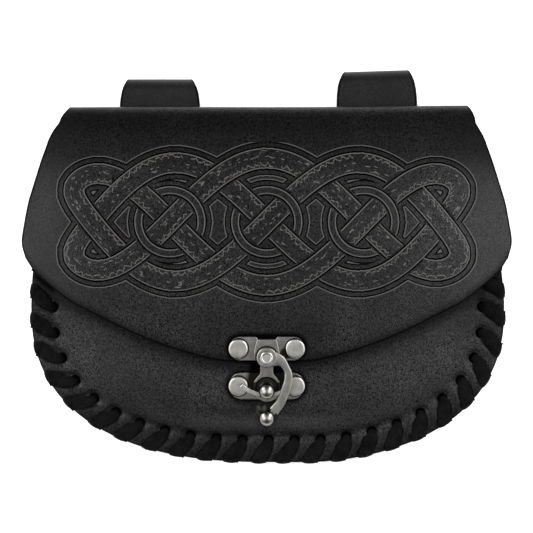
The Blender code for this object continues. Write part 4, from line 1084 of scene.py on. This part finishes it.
def panelHeight(x, y):
    # The belly's share is a mean over 10 mm, so that the leather bends softly up from the rim.
    held = seatWeight(x, y)
    reach = reachAt(x, y)
    offsets = np.linspace(-panel["bend"], panel["bend"], 9)
    weights = np.cos(offsets / 0.072 * math.pi / 2) ** 2
    share = sum(w * bellyShare(np.maximum(reach + o, 0)) for o, w in zip(offsets, weights)) / weights.sum()
    share = np.where(reach < 0.8, bellyShare(reach), share)
    belly = rimMiddle + bellyRise(-y) * share
    return (1 - held) * belly + held * (seatHeight(y) - wall / 2)


def makeFrontPanel():
    # A band of cells round the laced rim, then rings that shrink to the panel's spine.
    plan, bandQuads, insets = rimBand(panel, pouch["edgeRound"] - rim["frontBeyond"], rim["frontHole"])
    rings, columns = plan.shape[:2]
    last = plan[-1, ::3]  # each inner cell meets three of the band
    spine = np.stack([np.zeros(len(last)), np.maximum(last[:, 1], -pouch["widestDrop"])], axis=1)
    share = np.linspace(1, 0, panel["innerRings"] + 1)[1:, None, None]
    inside = spine + share * (last - spine)
    planPoints = np.vstack([plan.reshape(-1, 2), inside.reshape(-1, 2)])
    start = rings * columns
    quads = gridQuads(panel["innerRings"], len(last), start)
    j = np.arange(len(last) - 1)
    onLast = start - columns + 3 * j
    joinFaces = np.stack([onLast, start + j, start + j + 1, onLast + 3, onLast + 2, onLast + 1], axis=1)
    x, y = planPoints.T
    z = panelHeight(x, y)
    # Each stitch presses the outer face down, and the leather swells beside it.
    inset = np.concatenate([np.repeat(insets, columns), np.full(len(planPoints) - start, 1.0)])
    onBand = inset < panel["stitchRise"][1] + 0.0001
    relief = np.zeros(len(planPoints))
    under = underStitch(x[onBand], y[onBand])
    swell = rim["swell"] * (1 - rise(inset[onBand], *panel["stitchRise"])) * rise(inset[onBand], -0.001, 0.0030)
    relief[onBand] = swell * (1 - under) - rim["sink"] * under
    points = np.column_stack([planPoints, z])
    first, place, whole, thin = mergeSame(points, quads)
    points, bandQuads, joinFaces = points[first], place[bandQuads], place[joinFaces]
    normals = vertexNormals(points, [bandQuads, whole, thin, joinFaces[:, :4]])
    made, faces, finishOf = leatherSheet(
        points, [bandQuads, joinFaces, whole, thin], relief=relief[first, None], normals=normals,
    )
    values = {"paintedLightAndDye": np.ones(len(made)), "smooth": np.ones(len(made))}
    # Painted light and shade on the panel's outer face.
    values["paintedLightAndDye"][: len(points)] = paintedLightPanel(*points[:, :2].T, inset[first])
    made, faces, values = dropLoose(made, faces, values)
    addPiece("frontPanel", made, faces, [blackHide, blackEdge], "pouch", ["front_panel"],
             finishOf=finishOf, values=values)


makeFrontPanel()
print("leather of the pouch made")


lace = {
    "width": 0.0049,
    "thick": 0.0014,
    "holeWidth": 0.0044,  # bunched up to fill the hole
    "holeThick": 0.0042,
    "midWidth": 0.80,  # where it leaves a hole, as a share of its width
    "edgeWidth": 1.22,  # where it lies round the rim's edge
    "seated": 0.0001,  # over the pressed leather
    "substeps": 5,
    "sides": 16,
    "flatness": 1.2,  # power of the section's sine
    "rough": 0.00009,
    "uneven": 0.05,
}


def floorLine(y):
    # Height of the floor in the pouch's own axes.
    c, s = math.cos(pouch["tilt"]), math.sin(pouch["tilt"])
    return (-pouch["place"][2] - y * s) / c


def makeLacing():
    # Stations of each stitch (way along in pitches, inset, height, turn of the lace's face, width, thickness)
    # joined by one smooth curve, with a rounded flat section carried along it.
    r, inset = rim["frontHole"], rim["holeInset"]
    thick, width = lace["thick"], lace["width"]
    front, behind = rimTop - rim["sink"] + thick / 2 + lace["seated"], -gap - thick / 2
    bend = thick / 2 + gap
    midWidth, edgeWidth = lace["midWidth"] * width, lace["edgeWidth"] * width
    midThick, edgeThick = 1.3 * thick, 1.15 * thick
    stops, leans = stitchLeans()
    rows = []
    for number, (stop, lean) in enumerate(zip(stops, leans)):
        wrap = lean + 0.04
        stations = [
            (0.0, inset, 0.1 * rimTop, 270, lace["holeWidth"], lace["holeThick"]),
            (0.0, inset - 0.25 * r, 0.6 * rimTop, 300, midWidth, 0.65 * lace["holeThick"]),
            (0.12 * lean, inset - 1.0 * r, front - 0.35 * thick, 332, 0.86 * width, midThick),
            (0.36 * lean, inset - 2.0 * r, front - 0.05 * thick, 356, 1.00 * width, 1.1 * thick),
            (0.92 * lean, bend, front - 0.1 * thick, 368, 1.14 * width, thick),
            (wrap, -bend + 0.0004, rimTop + 0.3 * bend, 412, edgeWidth, edgeThick),
            (wrap, -bend + 0.0004, -0.8 * bend, 495, edgeWidth, edgeThick),
            (wrap + 0.04, bend, behind, 540, width, thick),
            (1 - 0.12 * (1 - lean), inset - 0.8 * r, behind - 0.1 * thick, 550, midWidth, midThick),
            (1.0, inset - 0.1 * r, 0.0, 600, lace["holeWidth"], lace["holeThick"]),
        ]
        if stop == stops[-1]:
            stations = stations[:-2]  # the lace ends behind the last stitch
        rows += [(stop + way, *rest[:2], turn + 360 * number, w, t) for way, *rest, turn, w, t in stations]
    way, inset, height, turn, w, t = curveThrough(rows, lace["substeps"]).T
    plan, out = onRim(way * rim["pitch"], inset)
    path = np.column_stack([plan, height])
    up = np.column_stack([np.sin(np.radians(turn))[:, None] * out, np.cos(np.radians(turn))])
    ahead = unit(np.gradient(path, axis=0))
    across = unit(np.cross(up, ahead))
    up = unit(np.cross(ahead, across))
    angle = np.linspace(0, 2 * math.pi, lace["sides"], endpoint=False)
    flat = np.cos(angle)[:, None]
    deep = (np.sign(np.sin(angle)) * np.abs(np.sin(angle)) ** lace["flatness"])[:, None]
    number = np.arange(len(path))
    w = w * (1 + lace["uneven"] * np.sin(number * 0.9) * np.sin(number * 0.37))
    ragged = np.random.default_rng(11).normal(0, lace["rough"], (len(path), lace["sides"], 1))
    rings = (
        path[:, None]
        + across[:, None] * (flat * (w[:, None, None] / 2 + ragged))
        + up[:, None] * (deep * (t[:, None, None] / 2 + 0.5 * ragged))
    )
    # The lowest stitch is pressed flat on the floor.
    rings[..., 2] = np.maximum(rings[..., 2], floorLine(rings[..., 1]) + 0.00002)
    addPiece("lacing", rings.reshape(-1, 3), tubeFaces(rings), [blackLace], "pouch", ["lacing"])


makeLacing()


loops = {
    "slot": 0.0070,
    "width": 0.0316,
    "foldWidth": 0.0256,
    "flare": 0.0070,
    "endDrop": 0.0650,
    "rivetDrop": 0.0600,
    "topRivetDrop": 0.0380,
    "leavesFloor": 0.0440,
    "bendEnd": 0.0568,  # from here down the two legs lie on each other
    "left": {"centre": -0.0416, "top": 0.0112, "lean": 0.0},
    "right": {"centre": 0.0429, "top": 0.0144, "lean": math.radians(2.0)},
}
loopInner = -gap - wall / 2
loopStacked = loopInner - wall - gap


def makeBeltLoop(name, node, centre, lean, top):
    # A strap: middle line down the back, over the fold and back along the floor, flaring from the fold.
    tilt = pouch["tilt"]
    radius = (loops["slot"] + wall) / 2
    for _ in range(20):  # settles the fold's radius, which both tops it and rests it on the floor
        centreY = top - radius - wall / 2
        radius = ((loopInner - floorLine(centreY)) * math.cos(tilt) - wall / 2) / (1 + math.cos(tilt))
    centreZ = loopInner - radius
    inner = np.column_stack([np.linspace(-loops["endDrop"], centreY, 40)[:-1], np.full(39, loopInner)])
    turns = np.linspace(math.pi / 2, -math.pi / 2 - tilt, 25)
    fold = np.column_stack([centreY + radius * np.cos(turns), centreZ + radius * np.sin(turns)])
    lift = wall / 2 / math.cos(tilt)
    lyingY = np.linspace(-0.006, -loops["leavesFloor"], 20)
    lying = np.column_stack([lyingY, floorLine(lyingY) + lift])
    share = np.linspace(0, 1, 14)[1:]
    start, end = lying[-1], np.array([-loops["bendEnd"], loopStacked])
    bend = start + np.column_stack([share, rise(share, 0, 1)]) * (end - start)
    tail = np.column_stack([np.linspace(end[0], -loops["endDrop"], 6)[1:], np.full(5, loopStacked)])
    path = np.vstack([inner, fold, lying, bend, tail])[::-1]
    below = np.maximum(top - wall / 2 - path[:, 0], 0)
    narrowed = (loops["width"] - loops["foldWidth"]) * np.exp(-2 * below / loops["flare"])
    half = (loops["width"] - narrowed) / 2 - pouch["edgeRound"]
    across = np.linspace(-1, 1, 41)[None] * half[:, None]
    # Over the ridge the strap leans: it shifts aside, and one side of its top stands higher.
    slant = math.tan(lean)
    y, z = (path[:, k, None] + 0 * across for k in (0, 1))
    above = np.maximum(y, 0)
    grid = np.dstack([centre + across - above * slant / 2, y + above / top * across * slant, z])
    made, faces, finishOf = leatherSheet(grid.reshape(-1, 3), [gridQuads(*grid.shape[:2])])
    values = {"paintedLightAndDye": np.ones(len(made)), "smooth": np.ones(len(made))}
    darkened = np.zeros((2, *grid.shape[:2]), bool)  # its outer and inner side
    darkened[..., [0, -1]] = darkened[:, [0, -1]] = True
    values["paintedLightAndDye"][np.flatnonzero(darkened)] = 0
    addPiece(name, made, faces, [loopHide, blackEdge], "pouch", [node],
             finishOf=finishOf, values=values)


for side in ("left", "right"):
    makeBeltLoop("beltLoop" + side.title(), "belt_loop_" + side, **loops[side])


def turnedRings(profile, centre, sides):
    # A profile of (radius, height) turned about the clasp's z; its two ends are points on the axis.
    profile = np.array(profile, float)
    turn = np.linspace(0, 2 * math.pi, sides, endpoint=False)
    body = profile[1:-1]
    x, y = centre[0] + body[:, :1] * np.cos(turn), centre[1] + body[:, :1] * np.sin(turn)
    rings = np.stack([x, y, body[:, 1:] + 0 * turn], axis=-1).reshape(-1, 3)
    points = np.vstack([rings, (*centre, profile[0, 1]), (*centre, profile[-1, 1])])
    quads = gridQuads(len(body), sides, closed=True)[:, ::-1]
    j = np.arange(sides)
    k = (j + 1) % sides
    top = (len(body) - 1) * sides
    first, last = len(rings) + 0 * j, len(rings) + 1 + 0 * j
    tips = np.vstack([np.stack([k, j, first], axis=1), np.stack([top + j, top + k, last], axis=1)])
    return points, [quads, tips]


def softProfile(profile, radius):
    # Rounds each inner corner of a profile: three points on a curve in place of one.
    p = np.array(profile, float)
    made = [p[0]]
    for before, corner, after in zip(p, p[1:], p[2:]):
        ways = before - corner, after - corner
        a, b = (corner + unit(way) * min(radius, 0.45 * np.linalg.norm(way)) for way in ways)
        made += [a, 0.25 * a + 0.5 * corner + 0.25 * b, b]
    return np.array(made + [p[-1]])


def plateShell(outline, low, high, bevel):
    # A flat plate: its outline carried up a profile of (inset, height) with rounded corners. Each corner of
    # the outline moves in by the mean of its two edges' normals, further where it is sharp.
    outline = np.array(outline, float)
    following = np.roll(outline, -1, axis=0)
    if (outline[:, 0] * following[:, 1] - following[:, 0] * outline[:, 1]).sum() < 0:
        outline = outline[::-1]
    normal = -leftOf(unit(np.roll(outline, -1, axis=0) - outline))
    mean = unit(normal + np.roll(normal, 1, axis=0))
    out = mean / np.maximum((mean * normal).sum(axis=1), 0.6)[:, None]
    turn = np.radians([90, 60, 30, 0])
    lower = [(bevel - bevel * math.cos(a), low + bevel - bevel * math.sin(a)) for a in turn]
    upper = [(inset, high + low - height) for inset, height in lower[::-1]]
    profile = [(bevel * 1.25, low), *lower, *upper, (bevel * 1.25, high)]
    rings = np.stack([
        np.column_stack([outline - inset * out, np.full(len(outline), height)]) for inset, height in profile
    ])
    return rings.reshape(-1, 3), [f[:, ::-1] for f in tubeFaces(rings)]


def stripShell(line, half, low, high, bevel):
    # A flat bar along a line: at each place a box section with rounded corners, joined place to place.
    corner = [(bevel * inset, bevel * lift) for inset, lift in ((1, 0), (0.5, 0.13), (0.13, 0.5), (0, 1))]
    section = [(1, -inset, low + lift) for inset, lift in corner]
    section += [(1, -inset, high - lift) for inset, lift in corner[::-1]]
    section += [(-1, inset, high - lift) for inset, lift in corner]
    section += [(-1, inset, low + lift) for inset, lift in corner[::-1]]
    share, inset, height = np.array(section).T
    reach = share * np.asarray(half)[:, None] + inset
    plan = line[:, None] + outward(line)[:, None] * reach[..., None]
    rings = np.dstack([plan, np.broadcast_to(height, reach.shape)])
    return rings.reshape(-1, 3), tubeFaces(rings)


def addMetal(name, node, shells, body="pouch"):
    # Closed shells in the clasp's axes as one mesh; each is (points, faces) with its finish.
    finishes = list(dict.fromkeys(finish for _, finish in shells))
    points, faces, finishOf = [], [], []
    start = 0
    for (shellPoints, shellFaces), finish in shells:
        points.append(shellPoints)
        faces += [f + start for f in shellFaces]
        finishOf.append(np.full(sum(map(len, shellFaces)), finishes.index(finish)))
        start += len(shellPoints)
    return addPiece(name, fromClasp(np.vstack(points)), faces, finishes, body, [node], sharp=38,
                    finishOf=np.concatenate(finishOf))


def arcPoints(centre, radius, start, end, steps):
    # Equal steps round an arc from one angle to the other, in degrees.
    turns = np.radians(np.linspace(start, end, steps + 1))
    return [(centre[0] + radius * math.cos(a), centre[1] + radius * math.sin(a)) for a in turns]


def mirrored(rightHalf):
    # An outline from its right half, which starts and ends on the middle line.
    return rightHalf + [(-x, y) for x, y in reversed(rightHalf) if x > 1e-9]


def roundEnd(top, bottom):
    # The right end of a clasp plate, a half circle from its top to its bottom.
    radius = (top - bottom) / 2
    return arcPoints((clasp["plateHalfWidth"] - radius, bottom + radius), radius, 90, -90, 28)


# Heights over the clasp's seat of what lies on what.
upperSeat = clasp["flapClearance"] + wall + gap
lowerSeat = gap
upperFace = upperSeat + clasp["plateThick"]
lowerFace = lowerSeat + clasp["plateThick"]
hookBottom = upperFace + clasp["blockHeight"] + gap
hookFace = hookBottom + clasp["hookThick"]

upperPlate = {
    # Half width and drop from the top, at the dip in its middle.
    "notch": ((0, 0.0010), (0.0030, 0.0010), (0.0036, 0.0008), (0.0040, 0.0002), (0.0046, 0)),
    "lobe": 0.88,  # round the pivot, of the hook's head
    # Half width of the tongue at shares of the way down to the fork's tips.
    "tongue": ((0.00245, 0.50), (0.00245, 0.62), (0.0029, 0.72), (0.0037, 0.80), (0.0044, 0.90)),
    "forkTip": -0.0102,
    "forkHalf": 0.0050,
    "forkCorner": (0.0002, 0.0003),
    "forkInner": 0.0047,
    "bevel": 0.00018,
    "block": (
        (0, 0.0068), (0.0036, 0.0068), (0.0040, 0.0062), (0.0044, 0.0045), (0.0050, 0.0020),
        (0.0050, -0.0008), (0.0030, -0.0012), (0, -0.0012),
    ),
    "blockFoot": 0.0004,  # it starts this far up in the plate
    "blockBevel": 0.0003,
}


def makeUpperPlate():
    # A bar with round ends, a lobe under the pivot, the forked tongue round the ball, and a raised block.
    c, p = clasp, upperPlate
    lobe, tip = p["lobe"] * c["headRadius"], p["forkTip"]
    tongueHalf = p["tongue"][0][0]
    lobeStart = math.degrees(math.asin(c["upperBottom"] / lobe))
    lobeEnd = -math.degrees(math.acos(tongueHalf / lobe))
    forkStart = math.degrees(math.asin((tip - c["postY"]) / p["forkInner"])) + 4
    half = [(x, c["upperTop"] - drop) for x, drop in p["notch"]]
    half += roundEnd(c["upperTop"], c["upperBottom"])
    half += arcPoints((0, 0), lobe, lobeStart, lobeEnd, 8)
    half += [(x, share * tip) for x, share in p["tongue"]]
    half += [(p["forkHalf"], tip + p["forkCorner"][1]), (p["forkHalf"] - p["forkCorner"][0], tip)]
    half += arcPoints((0, c["postY"]), p["forkInner"], forkStart, 90, 12)
    plate = plateShell(mirrored(half), upperSeat, upperFace, p["bevel"])
    foot, top = upperSeat + p["blockFoot"], upperFace + c["blockHeight"]
    block = plateShell(mirrored(list(p["block"])), foot, top, p["blockBevel"])
    addMetal("claspUpperPlate", "clasp_upper_plate", [(plate, upperMetal), (block, upperMetal)])


lowerPlate = {
    "bevel": 0.00028,
    "bossRadius": 0.0052,
    "bossInner": 0.0040,
    "bossRise": 0.0010,
    "bossCorner": 0.00018,
    "slope": 0.0003,  # of the boss's outer and inner sides
}


def makeLowerPlate():
    # A plate, the boss's ring on it and a nearly black disc inside the ring, painted shade of the hollow.
    c, p = clasp, lowerPlate
    half = [(0, c["lowerTop"]), *roundEnd(c["lowerTop"], c["lowerBottom"]), (0, c["lowerBottom"])]
    plate = plateShell(mirrored(half), lowerSeat, lowerFace, p["bevel"])
    outer, inner, slope = p["bossRadius"], p["bossInner"], p["slope"]
    foot, floor, top = lowerSeat + slope, lowerFace + 0.00002, lowerFace + p["bossRise"]
    boss = softProfile([
        (0, foot), (outer, foot), (outer, top - slope), (outer - slope, top), (inner, top),
        (inner - slope, floor), (0, floor),
    ], p["bossCorner"])
    reach = inner + 0.0001
    recess = [(0, lowerFace), (reach, lowerFace), (reach, top - slope), (0, top - slope)]
    place = (0, c["postY"])
    addMetal("claspLowerPlate", "clasp_lower_plate", [
        (plate, lowerMetal),
        (turnedRings(boss, place, 72), bossMetal),
        (turnedRings(recess, place, 48), shadeMetal),
    ])


softCorner = 0.00012  # on every rivet
plateRivet = {
    "x": 0.0110,
    "radius": 0.00375,
    "height": 0.0007,
    "dome": ((1, 0), (1, 0.5), (0.93, 0.9), (0.80, 1), (0, 1)),  # shares of the radius and the height
    "shank": 0.0012,
    "tail": 0.0026,
    "tailHeight": 0.0006,
}


def makePlateRivets():
    # A low round head on a shank; the lower two have a tail on the front panel's inner side.
    r, c = plateRivet, clasp
    for row, y, face, foot, tail in (
        ("upper", (c["upperTop"] + c["upperBottom"]) / 2, upperFace, c["flapClearance"], False),
        ("lower", (c["lowerTop"] + c["lowerBottom"]) / 2, lowerFace, -wall - gap, True),
    ):
        seat = face + gap
        profile = [(0, foot), (r["shank"], foot), (r["shank"], seat)]
        if tail:
            end = foot - r["tailHeight"]
            profile[:1] = [(0, end), (r["tail"], end), (r["tail"], foot)]
        profile += [(out * r["radius"], seat + up * r["height"]) for out, up in r["dome"]]
        for side, x in (("left", -r["x"]), ("right", r["x"])):
            shell = turnedRings(softProfile(profile, softCorner), (x, y), 56)
            name = f"plateRivet{row.title()}{side.title()}"
            addMetal(name, f"plate_rivet_{row}_{side}", [(shell, rivetMetal)])


pivot = {
    "pin": 0.0010,
    # Radius and height round its head, in to a shallow dimple.
    "head": ((0.0025, 0), (0.0025, 0.0005), (0.0022, 0.0008),
             (0.0018, 0.0008), (0.0016, 0.00068), (0, 0.00072)),
}


def makePivot():
    # A thin pin through the hook's head, with a flat head of its own.
    top = hookFace + gap
    profile = [(0, upperSeat), (pivot["pin"], upperSeat), (pivot["pin"], top)]
    profile += [(radius, top + up) for radius, up in pivot["head"]]
    shell = turnedRings(softProfile(profile, softCorner), (0, 0), 56)
    addMetal("claspPivot", "clasp_pivot", [(shell, rivetMetal)])


post = {"ballRadius": 0.0031, "neck": 0.0009, "foot": 0.00306, "footHeight": 0.0006, "neckHeight": 0.0010}


def makePost():
    # A foot in the boss, a thin neck and a ball that rests on the hook's finger.
    radius, neck = post["ballRadius"], post["neck"]
    low = lowerFace + gap
    middle = hookBottom + hook["fingerThick"] + gap + math.sqrt(radius**2 - (neck + gap) ** 2)
    profile = [(0, low), (post["foot"], low), (0.8 * post["foot"], low + post["footHeight"])]
    profile += [(neck, low + post["neckHeight"])]
    profile += arcPoints((0, middle), radius, -math.degrees(math.acos(neck / radius)), 90, 24)
    addMetal("claspPost", "clasp_post", [(turnedRings(profile, (0, clasp["postY"]), 64), polished)])


hook = {
    "reach": 0.0237,
    # Middle line of the arm and its width, as shares of the reach.
    "arm": (
        (0.030, -0.010, 0.290), (0.205, -0.038, 0.190), (0.285, -0.115, 0.122), (0.335, -0.205, 0.112),
        (0.356, -0.270, 0.126), (0.350, -0.410, 0.140), (0.300, -0.550, 0.150), (0.235, -0.730, 0.145),
        (0.116, -0.886, 0.160),
    ),
    "armThick": 0.0015,
    "armBevel": 0.00042,
    "headBevel": 0.00035,
    "fingerThick": 0.0011,
    "fingerWidth": 0.0016,
    "fingerTurn": (-66, -132),  # degrees round the pivot
    "fingerBevel": 0.00025,
    "neck": 0.0020,
    "neckBevel": 0.0002,
    "gripRadius": 0.0032,
    "capRadius": 0.0025,
    "cap": (-0.0021, 0.0034, -0.0004),  # beside the grip ball
}


def makeSwingHook():
    # Round head on the pivot, curved arm, latch finger, and at the arm's end the grip ball with its cap.
    h = hook
    disc = arcPoints((0, 0), clasp["headRadius"], 0, 360, 64)[:-1]
    head = plateShell(disc, hookBottom, hookFace, h["headBevel"])
    line = curveThrough(np.array(h["arm"]) * h["reach"], 10)
    for _ in range(25):  # eases the curve between its ends
        line[1:-1] = (line[:-2] + 2 * line[1:-1] + line[2:]) / 4
    low = hookBottom + 0.00005
    arm = stripShell(line[:, :2], line[:, 2] / 2, low, low + h["armThick"], h["armBevel"])
    # The finger lies just under the post's ball, round the pivot.
    inner = -clasp["postY"] + post["neck"] + gap
    start, end = h["fingerTurn"]
    finger = arcPoints((0, 0), inner, start, end, 40)
    finger += arcPoints((0, 0), inner + h["fingerWidth"], end, start, 40)
    finger = plateShell(finger, hookBottom + gap / 3, hookBottom + h["fingerThick"], h["fingerBevel"])
    grip, armEnd = np.array([0, -h["reach"]]), line[-1, :2]
    ahead = unit(grip - armEnd)
    aside = leftOf(ahead) * h["neck"] / 2
    back = armEnd - ahead * h["neck"]
    neck = [back + aside, grip + aside, grip - aside, back - aside]
    neck = plateShell(neck, hookBottom + gap, hookFace - gap, h["neckBevel"])
    middle = hookBottom + clasp["hookThick"] / 2
    ball = turnedRings(arcPoints((0, middle), h["gripRadius"], -90, 90, 32), grip, 56)
    *beside, lift = h["cap"]
    cap = turnedRings(arcPoints((0, middle + lift), h["capRadius"], -90, 90, 32), grip + beside, 48)
    shells = [(head, gunmetal), (arm, gunmetal), (finger, rivetMetal), (neck, gunmetal), (ball, polished)]
    # The cap is nearly black, painted shade of a part in shadow.
    addMetal("swingHook", "swing_hook", [*shells, (cap, shadeMetal)], body="hook")


loopRivet = {"head": 0.0032, "headHeight": 0.0006, "shank": 0.0012, "tail": 0.0026}


def makeLoopRivets():
    # Head behind the strap's outer leg or inner leg, shank through to a tail inside the pouch.
    r = loopRivet
    for side, (row, drop, layer) in itertools.product(("left", "right"), (
        ("lower", loops["rivetDrop"], loopStacked), ("upper", loops["topRivetDrop"], loopInner),
    )):
        seat, inside = layer - wall / 2 - gap, wall + gap
        low, high = seat - r["headHeight"], inside + r["headHeight"]
        points, faces = turnedRings(softProfile([
            (0, low), (0.75 * r["head"], low), (r["head"], seat - 0.4 * r["headHeight"]), (r["head"], seat),
            (r["shank"], seat), (r["shank"], inside), (r["tail"], inside), (r["tail"], high), (0, high),
        ], softCorner), (loops[side]["centre"], -drop), 40)
        addPiece(f"loopRivet{side.title()}{row.title()}", points, faces, [rivetMetal], "pouch",
                 [f"loop_rivet_{side}_{row}"], sharp=38)


makeUpperPlate()
makeLowerPlate()
makePlateRivets()
makePivot()
makePost()
makeSwingHook()
makeLoopRivets()
print("metal pieces made")


studio = {
    "paper": "#fafafa",
    "glow": 0.35,  # the table is lit from below, as for a cut-out picture
    "front": 0.80,  # brightness straight ahead of the pouch
    "sides": 4.8,  # in a band to each side, by the sideways part of its direction
    "bandStart": (0.20, 0.55),
    "bandEnd": (0.65, 0.95),
    "beyond": 0.35,
    "dark": 0.08,  # share left over and under the pouch, by the upward part of its direction
    "darkFrom": (0.15, 0.60),
    "softbox": 8.0,
    "softboxSize": 0.45,
    "softboxAway": 1.1,
    "softboxAim": (0, -0.07, 0.01),
    "softboxWay": (0.745, 0.559, 0.363),
    "cameraDistance": 2.5,
    "frameWidth": 0.2068,
    "sensor": 36.0,
    "aim": (-0.0001, -0.0619, 0.008),
}


def paperPattern(add):
    # Seamless paper: matt and nearly white.
    return {
        "Base Color": studio["paper"], "Roughness": 0.9, "Specular IOR Level": 0.1,
        "Emission Color": (1, 1, 1, 1), "Emission Strength": studio["glow"],
    }


def makeFloor():
    # A sheet 8 m wide, so that no edge shows.
    corners = np.array([(-4, -4, 0), (4, -4, 0), (4, 4, 0), (-4, 4, 0)], float)
    mesh = newMesh("paperFloor", corners, [np.array([[0, 1, 2, 3]])])
    mesh.materials.append(makeFinish("paperFloor", paperPattern))
    floor = linkNew("paperFloor", mesh)


def makeRoomLight():
    # Room light by direction: a bright band to each side of the camera, dark over and under the pouch.
    s = studio
    world = bpy.data.worlds.new("studioRoom")
    bpy.context.scene.world = world
    world.use_nodes = True
    world.node_tree.nodes.clear()
    add = functools.partial(addNode, world.node_tree)
    parts = add("SeparateXYZ", (add("TexCoord").outputs["Generated"],))
    aside, upward = (add("Math", (parts.outputs[k],), operation="ABSOLUTE") for k in (0, 1))
    start, fall, shade = (
        add("MapRange", (value, *between, first, last), interpolation_type="SMOOTHSTEP")
        for value, between, first, last in (
            (aside, s["bandStart"], s["front"], s["sides"]),
            (aside, s["bandEnd"], 1.0, s["beyond"]),
            (upward, s["darkFrom"], 1.0, s["dark"]),
        )
    )
    band = add("Math", (start, fall), operation="MULTIPLY")
    strength = add("Math", (band, shade), operation="MULTIPLY")
    add("OutputWorld", {"Surface": add("Background", {"Color": (1, 1, 1, 1), "Strength": strength})})


def makeSoftboxes():
    # One to each side and above, turned to face the pouch's middle.
    aim, (aside, up, out) = np.array(studio["softboxAim"]), studio["softboxWay"]
    for name, side in (("softboxLeft", -1), ("softboxRight", 1)):
        lamp = bpy.data.lights.new(name, "AREA")
        lamp.shape = "RECTANGLE"
        lamp.size = lamp.size_y = studio["softboxSize"]
        lamp.energy = studio["softbox"]
        thing = linkNew(name, lamp)
        place, target = toWorld([aim + studio["softboxAway"] * np.array([side * aside, up, out]), aim])
        thing.location = place
        thing.rotation_euler = Vector(target - place).to_track_quat("-Z", "Y").to_euler()


def makeCamera():
    # Looks at the pouch squarely, from far enough for the picture's flat view.
    lens = bpy.data.cameras.new("camera")
    lens.sensor_width = studio["sensor"]
    lens.lens = studio["sensor"] * studio["cameraDistance"] / studio["frameWidth"]
    lens.clip_start, lens.clip_end = 0.1, 20.0
    camera = linkNew("camera", lens)
    camera.location = toWorld([np.array(studio["aim"]) + (0, 0, studio["cameraDistance"])])[0]
    camera.rotation_euler = (pouch["tilt"], 0, 0)
    bpy.context.scene.camera = camera


makeFloor()
makeRoomLight()
makeSoftboxes()
makeCamera()
bpy.context.scene.view_settings.view_transform = "Standard"
print("floor, light and camera set")
